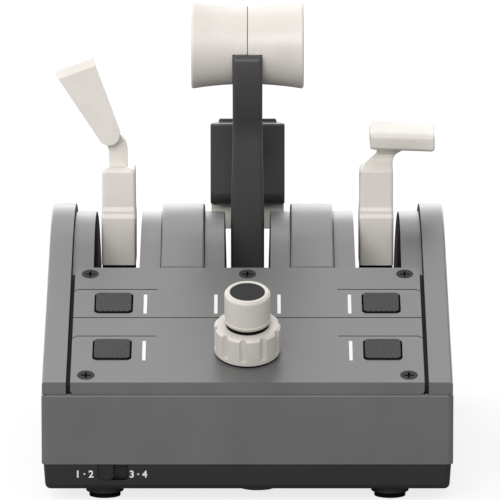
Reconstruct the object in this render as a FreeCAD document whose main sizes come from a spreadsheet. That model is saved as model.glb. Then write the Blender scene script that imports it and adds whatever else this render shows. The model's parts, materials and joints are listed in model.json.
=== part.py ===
"""Desktop throttle quadrant: grey two-part housing on a black base pan, with a speed-brake
lever, a thrust lever with its reverse lever, a flap lever and a sloping control panel.

Frame: +X right, +Y away from the user, +Z up, in millimetres. The origin lies on the desk,
under the middle of the housing.
"""
import FreeCAD, Part
import math
import os
import re

import Sketcher

os.makedirs("parts", exist_ok=True)
doc = FreeCAD.newDocument("throttle_quadrant")
Vector = FreeCAD.Vector
Rotation = FreeCAD.Rotation
Placement = FreeCAD.Placement

# ---------------------------------------------------------------- driving dimensions
sheet = doc.addObject("Spreadsheet::Sheet", "Sizes")

SIZES = {
    # housing
    "body_width": 185.6,        # lower housing, side to side
    "body_depth": 240,          # lower housing, front to back
    "corner_radius": 3,         # upright corners of the housing
    "wall": 2.6,                # moulded walls
    "foot_rubber": 2.4,         # thickness of a rubber foot
    "foot_boss": 3,             # boss under the pan that carries a foot
    "pan_height": 11.8,
    "pan_inset": 0.8,           # pan stands this far inside the lower housing
    "pan_draft": 4,             # degrees, walls of the pan lean in downwards
    "lower_height": 32.1,
    "seam_bevel": 0.9,          # bevel on the top edge of the lower housing
    "edge_round": 1.2,          # outer top edges of the side rails
    "seam_step": 0.6,           # upper housing stands back this far at the front
    "rail_step": 0.3,           # and this far at the sides
    "lip_height": 5.5,          # upright front lip of the upper housing
    "panel_slope": 20.5,        # degrees
    "panel_length": 101.2,      # along the slope
    "hump_run": 27.8,             # straight slope behind the panel
    "tail_radius": 50,
    "tail_rise": 2.45288,      # upright rear wall between the seam and the tail arc
    "shoulder_drop": 3.7,       # lever channels lie this far below the covers
    "cover_gap": 0.3,           # joint between neighbouring covers
    "cover_inner": 20.3,        # middle covers, from the centre plane
    "cover_outer": 40.2,
    "rail_width": 10.9,         # side rails
    "skin": 2,                  # inner walls of rails, covers and channels
    "end_gap": 0.6,             # joint behind the top edge of the panel
    # lever channels and pivot
    "slot_width": 21.9,         # between the shoulders at their crest
    "slot_draft": 1.2,          # degrees, the slot narrows downwards
    "channel_floor": 2.5,
    "pivot_setback": 163,       # pivot, behind the front face
    "pivot_height": 35.4,
    "drum_radius": 24,
    "drum_gap": 0.4,
    "drum_width": 20.5,
    "hub_radius": 9,
    "rim_thickness": 3,
    "web_thickness": 5,
    "bush_radius": 6,
    "shaft_radius": 4,
    "shaft_length": 161,
    "running_fit": 0.03,
    "collar_radius": 7.5,
    "collar_width": 3.5,
    "collar_play": 0.35,
    "magnet_radius": 12,
    "magnet_width": 2.5,
    # bearing brackets
    "inner_bracket_x": 31,
    "outer_bracket_x": 78,
    "bracket_thickness": 3.2,
    "bracket_span": 44,
    "bracket_head": 9,
    "bracket_foot": 8,
    "bracket_foot_rise": 3,
    # control panel
    "panel_side_gap": 1.9,      # between the panel and a side rail
    "panel_thickness": 3,
    "panel_corner": 3,
    "lip_corner": 2,
    "ledge_width": 5.6,
    "ledge_thickness": 2.5,
    "ledge_gap": 0.2,
    "engraving_width": 0.6,
    "engraving_depth": 0.5,
    "lower_line": 40.2,         # engraved lines, along the slope
    "middle_line": 56.5,
    "upper_line": 81.6,
    "line_inner_end": 41.4,
    "screw_side_inset": 6.9,    # side screws, in from the edge of the panel
    "screw_row_low": 6.3,
    "screw_end_inset": 5.7,     # upper screws, below the end of the panel
    "screw_head_radius": 4,
    "screw_head_height": 1.6,
    "screw_shank_radius": 2,
    "screw_length": 9,
    "screw_boss": 5,
    "screw_boss_depth": 10,
    "cross_length": 4.6,
    "cross_width": 0.9,
    "cross_depth": 0.9,
    "button_x": 61.4,
    "button_row_low": 28.2,
    "button_row_high": 69.2,
    "button_width": 16.9,
    "button_length": 16.8,
    "button_corner": 1.8,
    "button_gap": 0.45,
    "button_rise": 0.9,
    "button_body": 2.4,         # below the face of the panel
    "button_stem": 2.2,
    "button_travel": 0.9,
    "board_depth": 10.6,        # button board below the face of the panel
    "board_thickness": 1.6,
    "board_half_width": 74,
    "board_start": 14,
    "board_end_gap": 15.2,      # from the end of the board to the end of the panel
    "switch_side": 6,
    "switch_height": 0.8,
    "post_x": 44,
    "post_radius": 3,
    "post_inset": 5,            # posts, in from the ends of the board
    # dual knob
    "knob_row": 26.7,
    "ring_radius": 15,
    "ring_height": 13.6,
    "ring_lift": 0.8,
    "ring_recess_radius": 11.2,
    "ring_recess_depth": 1.2,
    "flute_count": 10,
    "flute_radius": 1.9,
    "flute_offset": 0.7,        # flutes are centred this far outside the ring
    "flute_stop": 2.2,
    "flute_turn": 7.5,          # degrees, first flute left of the front
    "ring_tube_radius": 6.4,
    "bushing_radius": 4.9,
    "ring_tube_end": 9.5,
    "knob_radius": 10.45,
    "knob_height": 15.6,
    "knob_lift": 1.5,
    "knob_bevel": 1,
    "knob_skirt_radius": 9.2,
    "knob_skirt_height": 1.1,   # chamfer at its foot, and the plain band above that
    "rib_count": 36,
    "rib_radius": 0.35,
    "cap_radius": 7.95,
    "cap_thickness": 0.8,
    "rotor_radius": 3.6,
    "knob_shaft_radius": 2,
    "knob_push": 1,
    "encoder_side": 16,
    "encoder_height": 9.8,
    # engine selector in the pan
    "selector_x": -60.55,
    "selector_window": 13.7,
    "selector_drop": 7.4,
    "selector_corner": 2,
    "slider_width": 6.5,
    "slider_proud": 0.8,
    "slider_gap": 0.35,
    "slider_flange": 18.5,
    "slider_flange_thickness": 1.2,
    "slider_ribs": 5,
    "slider_rib_depth": 0.5,
    # under the pan
    "foot_x": 64.6,
    "foot_inset": 15,
    "foot_radius": 7.1,
    "foot_boss_radius": 8.9,
    "clamp_x": 4.5,
    "clamp_setback": 14,
    "clamp_boss_radius": 8.3,
    "clamp_boss_height": 1.3,
    "insert_radius": 4,
    "insert_bore": 2.5,
    "insert_length": 9,
    "pillar": 10,
    "base_screw_side": 8.6,     # in from the side and end walls
    "base_screw_end": 8.4,
    "base_screw_head": 2.9,
    "base_screw_head_height": 1.8,
    "base_screw_radius": 1.45,
    "base_screw_length": 20,
    # electronics in the base
    "main_board_half_width": 66,
    "main_board_inset": 7,      # in from the rear wall
    "main_board_depth": 41,
    "main_board_height": 20,
    "main_post_radius": 3,
    "socket_width": 9,
    "socket_height": 3.2,
    "socket_length": 7.4,
    "socket_gap": 0.3,
    "sensor_width": 14,
    "sensor_rise": 26.4,
    "web_bar_setback": 94.5,
    "web_bar_thickness": 4,
    "web_bar_height": 16,
    # levers, heights above the pivot
    "arm_width": 10,
    "arm_depth": 12,
    "sleeve_width": 16.4,
    "sleeve_depth": 20,
    "sleeve_start": 44,
    "sleeve_end": 92,
    "sleeve_step": 2,
    "sleeve_step_height": 67.3,
    "sleeve_step_rise": 4.8,
    "sleeve_corner": 2.6,
    "sleeve_roof": 6,
    "neck_thickness": 9,
    "paddle_thickness": 5.5,
    "paddle_bevel": 3.6,
    "thrust_width": 14.1,
    "thrust_root_width": 15.8,
    "thrust_knee": 105,
    "grip_height": 149.6,
    "grip_half_length": 26.55,
    "grip_end_radius": 20.6,
    "grip_waist_depth": 2.1,    # the grip is thinner by this in the middle
    "grip_rim": 1.2,
    "grip_seam": 0.15,
    "cradle_depth": 2,          # the arm reaches this far into the grip
    "tang_radius": 9,
    "tang_thickness": 6,
    "bolt_radius": 2.5,
    "bolt_length": 32,
    "thumb_radius": 7.5,
    "thumb_gap": 0.3,
    "thumb_depth": 5,
    "thumb_rise": 0.8,
    "thumb_travel": 0.8,
    # reverse lever, from the lever pivot
    "reverser_back": 11,
    "reverser_height": 116,
    "reverser_pin_radius": 2,
    "reverser_lug_radius": 5.5,
    "reverser_eye_radius": 4.8,
    "reverser_link_width": 6,
    "reverser_side_gap": 0.3,
    "pad_back": 49,
    "pad_low": 63.6,
    "pad_high": 105.1,
    "pad_half_width": 17.9,
    "pad_rear_half_width": 13.9,
    "pad_depth": 10,
    "pad_foot": 7,
    "pull_drop": 12.6,
    "pull_half_width": 17.6,
    "pull_setback": 11.5,
    "pull_depth": 7,
    # flap lever
    "flap_sleeve_end": 92.2,
    "flap_bend_drop": 4.9,      # bend starts this far below the end of the sleeve
    "flap_bend_radius": 8,
    "flap_neck_thickness": 14,
    "flap_neck_fillet": 6.6,
    "flap_handle_inner": 2.8,
    "flap_handle_reach": 27.7,
    "flap_handle_half_depth": 12,
    "flap_neck_rise": 8.5,
    "flap_handle_front_height": 7.6,
    "flap_handle_back_height": 11.3,
}

for row, (alias, value) in enumerate(SIZES.items(), start=1):
    sheet.set("A%d" % row, alias.replace("_", " "))
    sheet.set("B%d" % row, str(value))
    sheet.setAlias("B%d" % row, alias)
doc.recompute()

# Lengths that follow from the sheet, as formulas on its aliases and on each other.
FORMULAS = {
    "front": "-body_depth/2",
    "rear": "body_depth/2",
    "pan_bottom": "foot_rubber + foot_boss",
    "pan_floor": "pan_bottom + wall",
    "pan_top": "pan_bottom + pan_height",
    "seam": "pan_top + lower_height",
    "lip_top": "seam + lip_height",
    "upper_front": "front + seam_step",
    "half_width": "body_width/2",
    "rail_outer": "half_width - rail_step",
    "rail_inner": "rail_outer - rail_width",
    "panel_half_width": "rail_inner - panel_side_gap",
    "screw_x": "panel_half_width - screw_side_inset",
    "flute_centre": "ring_radius + flute_offset",
    "panel_end": "upper_front + panel_length*cos(panel_slope)",
    "cover_front": "panel_end + end_gap",
    "crest_y": "upper_front + (panel_length + hump_run)*cos(panel_slope)",
    "crest_z": "lip_top + (panel_length + hump_run)*sin(panel_slope)",
    "tail_y": "rear - tail_radius",
    "tail_z": "seam + tail_rise",
    # the crest arc touches the slope and the tail arc
    "hump_radius": "((tail_y - crest_y)^2 + (tail_z - crest_z)^2 - tail_radius^2)"
                   "/(2*((tail_y - crest_y)*sin(panel_slope) - (tail_z - crest_z)*cos(panel_slope)"
                   " - tail_radius))",
    "hump_y": "crest_y + hump_radius*sin(panel_slope)",
    "hump_z": "crest_z - hump_radius*cos(panel_slope)",
    "flap_bend_start": "flap_sleeve_end - flap_bend_drop",
    "flap_handle_low": "flap_sleeve_end + flap_neck_rise",
    "flap_handle_front": "flap_handle_low + flap_handle_front_height",
    "flap_handle_back": "flap_handle_low + flap_handle_back_height",
    "screw_row_high": "panel_length - screw_end_inset",
    "board_end": "panel_length - board_end_gap",
    "post_row_low": "board_start + post_inset",
    "post_row_high": "board_end - post_inset",
    "base_screw_x": "half_width - base_screw_side",
    "base_screw_y": "rear - base_screw_end",
    "main_board_end": "rear - main_board_inset",
    "main_board_start": "main_board_end - main_board_depth",
    "pivot_y": "front + pivot_setback",
    "lever_pitch": "(cover_outer + rail_inner)/2",
    "floor_top": "seam + channel_floor",
    "pan_half": "half_width - pan_inset",
    "pan_front": "front + pan_inset",
    "ring_top": "ring_lift + ring_height",
    "knob_bottom": "ring_top + knob_lift",
    "knob_top": "knob_bottom + knob_height",
    "encoder_bottom": "-board_depth - board_thickness - encoder_height",
    "web_bar_y": "front + web_bar_setback",
    "grip_waist_radius": "grip_end_radius - grip_waist_depth",
    "cradle_radius": "grip_waist_radius - cradle_depth",
    "grip_flare": "grip_waist_depth",
    "grip_bow": "((grip_half_length - grip_rim)^2 + grip_flare^2)/(2*grip_flare)",
    "slider_inside": "pan_front + wall + pan_inset + slider_gap",
}
NAME = re.compile(r"[A-Za-z_]\w*")


def cell(text):
    """Write a formula on aliases as a FreeCAD expression on the spreadsheet."""
    def word(match):
        name = match.group(0)
        if name in FORMULAS:
            return "(" + cell(FORMULAS[name]) + ")"
        if name in SIZES:
            return "Sizes." + name
        return name
    return NAME.sub(word, str(text))


def value(text):
    """The number that a formula has now."""
    return float(sheet.evalExpression(cell(text)))


def bind(thing, prop, text):
    thing.setExpression(prop, cell(text))


# ---------------------------------------------------------------- sketch and feature helpers
nodes = []


def new_body(name):
    body = doc.addObject("PartDesign::Body", name)
    body.Label = name
    nodes.append(body)
    return body


def place(thing, x="0", y="0", z="0", tilt=None):
    """Give a sub-part its Placement; tilt turns it about X, up from the desk."""
    turn = Rotation(Vector(1, 0, 0), value(tilt) if tilt else 0)
    thing.Placement = Placement(Vector(value(x), value(y), value(z)), turn)
    for axis, text in zip("xyz", (x, y, z)):
        bind(thing, "Placement.Base." + axis, text)
    if tilt:
        bind(thing, "Placement.Rotation.Angle", tilt)


def place_on_panel(thing, along="0"):
    """Panel frame: origin on its front top edge, +Y up the slope, +Z out of its face."""
    place(thing, y="upper_front + (%s)*cos(panel_slope)" % along,
          z="lip_top + (%s)*sin(panel_slope)" % along, tilt="panel_slope")


def new_sketch(body, role, offset="0", lift="0", tilt="0"):
    """A sketch on one of the body's own origin planes, moved by offset along the normal of that
    plane and by lift along its upright, then tilted about its own X."""
    plane = next(f for f in body.Origin.OriginFeatures if f.Role == role + "_Plane")
    sketch = body.newObject("Sketcher::SketchObject", "sketch")
    sketch.AttachmentSupport = [(plane, "")]
    sketch.MapMode = "FlatFace"
    turn = Rotation(Vector(1, 0, 0), value(tilt))
    sketch.AttachmentOffset = Placement(Vector(0, value(lift), value(offset)), turn)
    bind(sketch, "AttachmentOffset.Base.y", lift)
    bind(sketch, "AttachmentOffset.Base.z", offset)
    if tilt != "0":
        bind(sketch, "AttachmentOffset.Rotation.Angle", tilt)
    return sketch


def panel_sketch(body):
    """A sketch on the face of the control panel, for bodies that stand in the main frame."""
    return new_sketch(body, "XY", "lip_top", "upper_front", "panel_slope")


def pin(sketch, geometry, end, u, v):
    """Fix a point of the sketch at (u, v), each a formula."""
    for kind, text in (("DistanceX", u), ("DistanceY", v)):
        number = sketch.addConstraint(Sketcher.Constraint(kind, -1, 1, geometry, end, value(text)))
        sketch.setExpression("Constraints[%d]" % number, cell(text))


def set_radius(sketch, geometry, text):
    number = sketch.addConstraint(Sketcher.Constraint("Radius", geometry, value(text)))
    sketch.setExpression("Constraints[%d]" % number, cell(text))


def outline(sketch, corners):
    """Closed outline through the corners. A corner (u, v) ends a straight edge, (u, v, radius)
    an arc that turns left, and (u, v, radius, "right") one that turns right."""
    points = [Vector(value(c[0]), value(c[1]), 0) for c in corners]
    ends = []
    for i, corner in enumerate(corners):
        start, stop = points[i - 1], points[i]
        if len(corner) == 2:
            index = sketch.addGeometry(Part.LineSegment(start, stop), False)
            ends.append((index, 1, 2))
            continue
        radius = value(corner[2])
        side = -1 if len(corner) == 4 else 1
        chord = stop - start
        rise = math.sqrt(max(radius ** 2 - (chord.Length / 2) ** 2, 0))
        left = Vector(-chord.y, chord.x, 0).normalize()
        centre = (start + stop) * 0.5 + left * (rise * side)
        first, last = (start, stop) if side > 0 else (stop, start)
        angles = [math.atan2((p - centre).y, (p - centre).x) for p in (first, last)]
        if angles[1] < angles[0]:
            angles[1] += 2 * math.pi
        circle = Part.Circle(centre, Vector(0, 0, 1), radius)
        index = sketch.addGeometry(Part.ArcOfCircle(circle, *angles), False)
        ends.append((index, 1, 2) if side > 0 else (index, 2, 1))
    for i, (index, _, stop) in enumerate(ends):
        following = ends[(i + 1) % len(ends)]
        sketch.addConstraint(Sketcher.Constraint("Coincident", index, stop, following[0], following[1]))
        pin(sketch, index, stop, corners[i][0], corners[i][1])
    for (index, _, _), corner in zip(ends, corners):
        if len(corner) > 2:
            set_radius(sketch, index, corner[2])


def rectangle(sketch, u0, v0, u1, v1):
    outline(sketch, [(u0, v0), (u1, v0), (u1, v1), (u0, v1)])


def rounded(sketch, u0, v0, u1, v1, radius):
    def inner(edge, sign):
        return "(%s) %s (%s)" % (edge, sign, radius)
    outline(sketch, [(inner(u0, "+"), v0, radius), (inner(u1, "-"), v0), (u1, inner(v0, "+"), radius),
                     (u1, inner(v1, "-")), (inner(u1, "-"), v1, radius), (inner(u0, "+"), v1),
                     (u0, inner(v1, "-"), radius), (u0, inner(v0, "+"))])


def circle(sketch, u, v, radius):
    index = sketch.addGeometry(Part.Circle(Vector(value(u), value(v), 0), Vector(0, 0, 1), value(radius)), False)
    set_radius(sketch, index, radius)
    pin(sketch, index, 3, u, v)


def pad(sketch, length, taper=None, reverse=False):
    """Add material along the sketch's normal."""
    body = sketch.getParentGeoFeatureGroup()
    feature = body.newObject("PartDesign::Pad", "pad")
    feature.Profile = sketch
    feature.Length = value(length)
    bind(feature, "Length", length)
    feature.Reversed = reverse
    if taper:
        feature.TaperAngle = value(taper)
        bind(feature, "TaperAngle", taper)
    return feature


def pocket(sketch, length, reverse=False):
    """Remove material along the sketch's normal, or against it with reverse."""
    body = sketch.getParentGeoFeatureGroup()
    feature = body.newObject("PartDesign::Pocket", "pocket")
    feature.Profile = sketch
    feature.Length = value(length)
    bind(feature, "Length", length)
    feature.Reversed = not reverse
    return feature


def revolve(sketch, axis, cut=False):
    body = sketch.getParentGeoFeatureGroup()
    kind = "Groove" if cut else "Revolution"
    feature = body.newObject("PartDesign::" + kind, kind.lower())
    feature.Profile = sketch
    feature.ReferenceAxis = (sketch, [axis])
    feature.Angle = 360
    return feature


def polar(feature, count, axis_role="Z_Axis"):
    body = feature.getParentGeoFeatureGroup()
    axis = next(f for f in body.Origin.OriginFeatures if f.Role == axis_role)
    pattern = body.newObject("PartDesign::PolarPattern", "pattern")
    pattern.Originals = [feature]
    pattern.Axis = (axis, [""])
    pattern.Angle = 360
    bind(pattern, "Occurrences", count)
    body.Tip = pattern
    return pattern


def span(edge, axis):
    """Lowest and highest coordinate of an edge on an axis."""
    box = edge.BoundBox
    return {"x": (box.XMin, box.XMax), "y": (box.YMin, box.YMax), "z": (box.ZMin, box.ZMax)}[axis]


def at(axis, text, slack=1e-3):
    """Test for edges that lie wholly at one coordinate."""
    place_at = value(text)
    return lambda edge: all(abs(c - place_at) < slack for c in span(edge, axis))


def along(axis):
    """Test for straight edges parallel to an axis."""
    others = [a for a in "xyz" if a != axis]
    return lambda edge: all(span(edge, a)[1] - span(edge, a)[0] < 1e-3 for a in others)


def every(*tests):
    return lambda edge: all(test(edge) for test in tests)


def either(*tests):
    return lambda edge: any(test(edge) for test in tests)


def dress(body, kind, size, test):
    """Fillet or chamfer the edges of the body that pass a test."""
    doc.recompute()
    base = body.Tip
    names = ["Edge%d" % (i + 1) for i, edge in enumerate(base.Shape.Edges) if test(edge)]
    if not names:
        raise RuntimeError("no edge to dress on " + body.Name)
    feature = body.newObject("PartDesign::" + kind, kind.lower())
    feature.Base = (base, names)
    prop = "Radius" if kind == "Fillet" else "Size"
    setattr(feature, prop, value(size))
    bind(feature, prop, size)
    return feature


def slab(body, corners, x_from, x_to, cut=False):
    """Side outline in (Y, Z), carried across from x_from to x_to."""
    sketch = new_sketch(body, "YZ", x_from)
    outline(sketch, corners)
    length = "(%s) - (%s)" % (x_to, x_from)
    return pocket(sketch, length) if cut else pad(sketch, length)


def box(name, x0, x1, y0, y1, z0, z1):
    part = doc.addObject("Part::Box", name)
    for prop, low, high in (("Length", x0, x1), ("Width", y0, y1), ("Height", z0, z1)):
        setattr(part, prop, value("(%s) - (%s)" % (high, low)))
        bind(part, prop, "(%s) - (%s)" % (high, low))
    place(part, x0, y0, z0)
    return part


def rod(name, radius, length, x, y, z, axis="z"):
    """Cylinder from (x, y, z) along an axis."""
    part = doc.addObject("Part::Cylinder", name)
    part.Radius = value(radius)
    bind(part, "Radius", radius)
    part.Height = value(length)
    bind(part, "Height", length)
    turn = {"z": Rotation(), "x": Rotation(Vector(0, 1, 0), 90)}[axis]
    part.Placement = Placement(Vector(value(x), value(y), value(z)), turn)
    for letter, text in zip("xyz", (x, y, z)):
        bind(part, "Placement.Base." + letter, text)
    return part


def tube(name, outer, bore, length, x, y, z, axis="z"):
    part = doc.addObject("Part::Cut", name)
    part.Base = rod(name + "_outer", outer, length, x, y, z, axis)
    part.Tool = rod(name + "_bore", bore, length, x, y, z, axis)
    return part


def group(name, members):
    """Several separate solids under one name."""
    compound = doc.addObject("Part::Compound", name)
    compound.Links = members
    return compound


def node(thing, name):
    thing.Label = name
    nodes.append(thing)
    return thing


# ---------------------------------------------------------------- outlines of the upper housing
def slope_z(y, depth):
    """Height of the panel slope, or of the surface that lies depth below it."""
    return "lip_top + ((%s) - upper_front)*tan(panel_slope) - (%s)/cos(panel_slope)" % (y, depth)


def hump_outline(depth, start, bottom):
    """Side outline under the hump: slope, crest arc and tail arc, all depth inside the skin."""
    reach = "(hump_radius - (%s))" % depth
    lean_y = "(tail_y - hump_y)/(hump_radius - tail_radius)"
    lean_z = "(tail_z - hump_z)/(hump_radius - tail_radius)"
    back = "rear - (%s)" % depth
    return [
        (start, bottom),
        (back, bottom),
        (back, "tail_z"),
        ("hump_y + %s*%s" % (reach, lean_y), "hump_z + %s*%s" % (reach, lean_z),
         "tail_radius - (%s)" % depth),
        ("crest_y + (%s)*sin(panel_slope)" % depth, "crest_z - (%s)*cos(panel_slope)" % depth, reach),
        (start, slope_z(start, depth)),
    ]


def lid_outline(outer, inner, end):
    """L-shaped band behind the front lip and under the slope, between two depths."""
    y_out = "upper_front + (%s)" % outer
    y_in = "upper_front + (%s)" % inner
    return [
        (y_out, "seam"), (y_in, "seam"), (y_in, slope_z(y_in, inner)), (end, slope_z(end, inner)),
        (end, slope_z(end, outer)), (y_out, slope_z(y_out, outer)),
    ]


# ---------------------------------------------------------------- base pan and lower housing
def make_base_pan():
    """Black tray with four foot bosses, a clamp boss and the selector window."""
    body = new_body("base_pan")
    plan = new_sketch(body, "XY", "pan_top")
    rounded(plan, "-pan_half", "pan_front", "pan_half", "-pan_front", "corner_radius")
    pad(plan, "pan_height", taper="-pan_draft", reverse=True)
    dress(body, "Fillet", "wall", at("z", "pan_bottom"))
    cavity = new_sketch(body, "XY", "pan_floor")
    rounded(cavity, "-pan_half + wall + pan_inset", "pan_front + wall + pan_inset",
            "pan_half - wall - pan_inset", "-pan_front - wall - pan_inset", "corner_radius")
    pocket(cavity, "pan_height")
    feet = new_sketch(body, "XY", "pan_floor")
    for x in ("-foot_x", "foot_x"):
        for y in ("front + foot_inset", "rear - foot_inset"):
            circle(feet, x, y, "foot_boss_radius")
    pad(feet, "foot_boss + wall", taper="-pan_draft", reverse=True)
    clamp = new_sketch(body, "XY", "pan_bottom - clamp_boss_height")
    circle(clamp, "clamp_x", "front + clamp_setback", "clamp_boss_radius")
    pad(clamp, "insert_length")
    corners = new_sketch(body, "XY", "pan_bottom + wall/2")
    for side in (-1, 1):
        for end in (-1, 1):
            x_far = "%d*(pan_half - wall)" % side
            x_near = "%d*(pan_half - wall - pillar)" % side
            y_far = "%d*(rear - pan_inset - wall)" % end
            y_near = "%d*(rear - pan_inset - wall - pillar)" % end
            rectangle(corners, *(t for t in (x_near, y_near, x_far, y_far)))
    pad(corners, "pan_height - wall/2")
    posts = new_sketch(body, "XY", "pan_bottom + wall/2")
    for x in ("-main_board_half_width + 6", "main_board_half_width - 6"):
        for y in ("main_board_start + 6", "main_board_end - 6"):
            circle(posts, x, y, "main_post_radius")
    pad(posts, "main_board_height - pan_bottom - wall/2")
    bores = new_sketch(body, "XY", "0")
    circle(bores, "clamp_x", "front + clamp_setback", "insert_radius")
    for x in ("-base_screw_x", "base_screw_x"):
        for y in ("-base_screw_y", "base_screw_y"):
            circle(bores, x, y, "base_screw_radius")
    for x, sign in bracket_places:
        for y in ("pivot_y - bracket_span/2 + 6", "pivot_y + bracket_span/2 - 6"):
            circle(bores, bracket_screw_x(x, sign), y, "base_screw_radius")
    pocket(bores, "pan_top")
    heads = new_sketch(body, "XY", "0")
    for x in ("-base_screw_x", "base_screw_x"):
        for y in ("-base_screw_y", "base_screw_y"):
            circle(heads, x, y, "base_screw_head")
    pocket(heads, "pan_bottom + base_screw_head_height")
    window = new_sketch(body, "XZ", "-(pan_front + wall + 2*pan_inset)")
    left = "selector_x - selector_window/2"
    right = "selector_x + selector_window/2"
    sill = "pan_top - selector_drop"
    outline(window, [
        ("%s + selector_corner" % left, sill, "selector_corner"), ("%s - selector_corner" % right, sill),
        (right, "%s + selector_corner" % sill, "selector_corner"), (right, "pan_top + wall"),
        (left, "pan_top + wall"), (left, "%s + selector_corner" % sill),
    ])
    pocket(window, "2*wall + pan_inset")
    return body


bracket_places = [("-outer_bracket_x", -1), ("-inner_bracket_x", -1),
                  ("inner_bracket_x", 1), ("outer_bracket_x", 1)]


def bracket_screw_x(x, sign):
    return "(%s) + %d*(bracket_thickness/2 + bracket_foot/2)" % (x, sign)


def make_lower_housing():
    """Grey frame with a bevelled top edge, screw pillars and a bar across under the panel."""
    body = new_body("lower_housing")
    plan = new_sketch(body, "XY", "pan_top")
    rounded(plan, "-half_width", "front", "half_width", "rear", "corner_radius")
    pad(plan, "lower_height")
    dress(body, "Chamfer", "seam_bevel", at("z", "seam"))
    cavity = new_sketch(body, "XY", "pan_top")
    rounded(cavity, "-half_width + wall + rail_step", "front + wall + seam_step",
            "half_width - wall - rail_step", "rear - wall - seam_step", "corner_radius/2")
    pocket(cavity, "lower_height")
    pillars = new_sketch(body, "XY", "pan_top")
    for side in (-1, 1):
        for end in (-1, 1):
            x_far = "%d*(half_width - wall)" % side
            x_near = "%d*(pan_half - wall - pillar)" % side
            y_far = "%d*(rear - wall)" % end
            y_near = "%d*(rear - pan_inset - wall - pillar)" % end
            rectangle(pillars, x_near, y_near, x_far, y_far)
    pad(pillars, "lower_height - web_bar_height")
    bar = new_sketch(body, "XY", "seam - web_bar_height")
    rectangle(bar, "-half_width + wall", "web_bar_y", "half_width - wall", "web_bar_y + web_bar_thickness")
    pad(bar, "web_bar_height")
    bores = new_sketch(body, "XY", "pan_top")
    for x in ("-base_screw_x", "base_screw_x"):
        for y in ("-base_screw_y", "base_screw_y"):
            circle(bores, x, y, "base_screw_radius")
    pocket(bores, "pan_bottom + base_screw_head_height + base_screw_length - pan_top")
    socket = new_sketch(body, "XZ", "-rear - wall")
    low = "main_board_height + board_thickness - socket_gap"
    rounded(socket, "-socket_width/2 - socket_gap", low, "socket_width/2 + socket_gap",
            "%s + socket_height + 2*socket_gap" % low, "socket_height/3 + socket_gap")
    pocket(socket, "3*wall")
    return body


def make_foot_group():
    feet = []
    for x in ("-foot_x", "foot_x"):
        for y in ("front + foot_inset", "rear - foot_inset"):
            foot = rod("foot", "foot_radius", "foot_rubber", x, y, "0")
            feet.append(foot)
    return node(group("rubber_feet", feet), "rubber_feet")


def make_clamp_insert():
    insert = tube("clamp_insert", "insert_radius", "insert_bore", "insert_length",
                  "clamp_x", "front + clamp_setback", "pan_bottom - clamp_boss_height")
    return node(insert, "clamp_insert")


def make_base_screws():
    screws = []
    for x in ("-base_screw_x", "base_screw_x"):
        for y in ("-base_screw_y", "base_screw_y"):
            screw = doc.addObject("Part::Fuse", "base_screw")
            screw.Base = rod("head", "base_screw_head", "base_screw_head_height", x, y, "pan_bottom")
            screw.Tool = rod("shank", "base_screw_radius", "base_screw_head_height + base_screw_length",
                             x, y, "pan_bottom")
            screws.append(screw)
    return node(group("base_screws", screws), "base_screws")


# ---------------------------------------------------------------- upper housing
def make_side_rail(side):
    """Outer wall, top strip and outer hump in one moulding, open below."""
    name = "side_rail_right" if side > 0 else "side_rail_left"
    body = new_body(name)

    def across(near, far):
        return (near, far) if side > 0 else ("-(%s)" % far, "-(%s)" % near)

    slab(body, hump_outline("0", "upper_front", "seam"), *across("rail_inner", "rail_outer"))
    dress(body, "Fillet", "edge_round",
          every(at("x", "%d*(rail_outer)" % side), lambda e: span(e, "z")[1] > value("lip_top") + 1))
    slab(body, hump_outline("wall", "upper_front + wall", "seam"),
         *across("rail_inner + skin", "rail_outer - wall"), cut=True)
    ledge = ("panel_thickness + ledge_gap", "panel_thickness + ledge_gap + ledge_thickness")
    slab(body, lid_outline(ledge[0], ledge[1], "panel_end"), *across("rail_inner - ledge_width", "rail_inner"))
    for low, high in (("screw_row_low - screw_boss", "screw_row_low + screw_boss"),
                      ("screw_row_high - screw_boss", "screw_row_high + screw_boss")):
        y_low = "upper_front + panel_thickness + (%s)*cos(panel_slope)" % low
        y_high = "upper_front + (%s)*cos(panel_slope)" % high
        slab(body, [
            (y_low, slope_z(y_low, "screw_boss_depth")), (y_high, slope_z(y_high, "screw_boss_depth")),
            (y_high, slope_z(y_high, ledge[0])), (y_low, slope_z(y_low, ledge[0])),
        ], *across("screw_x - screw_boss + 0.6", "rail_inner"))
    holes = panel_sketch(body)
    for row in ("screw_row_low", "screw_row_high"):
        circle(holes, "%d*screw_x" % side, row, "screw_shank_radius")
    pocket(holes, "screw_length", reverse=True)
    return body


def make_middle_cover(side):
    """Hump cover between two lever channels: an open-bottomed shell."""
    name = "middle_cover_right" if side > 0 else "middle_cover_left"
    body = new_body(name)

    def across(near, far):
        return (near, far) if side > 0 else ("-(%s)" % far, "-(%s)" % near)

    slab(body, hump_outline("0", "cover_front", "seam"), *across("cover_inner", "cover_outer"))
    slab(body, hump_outline("wall", "cover_front + wall", "seam"),
         *across("cover_inner + skin", "cover_outer - skin"), cut=True)
    return body


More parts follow.
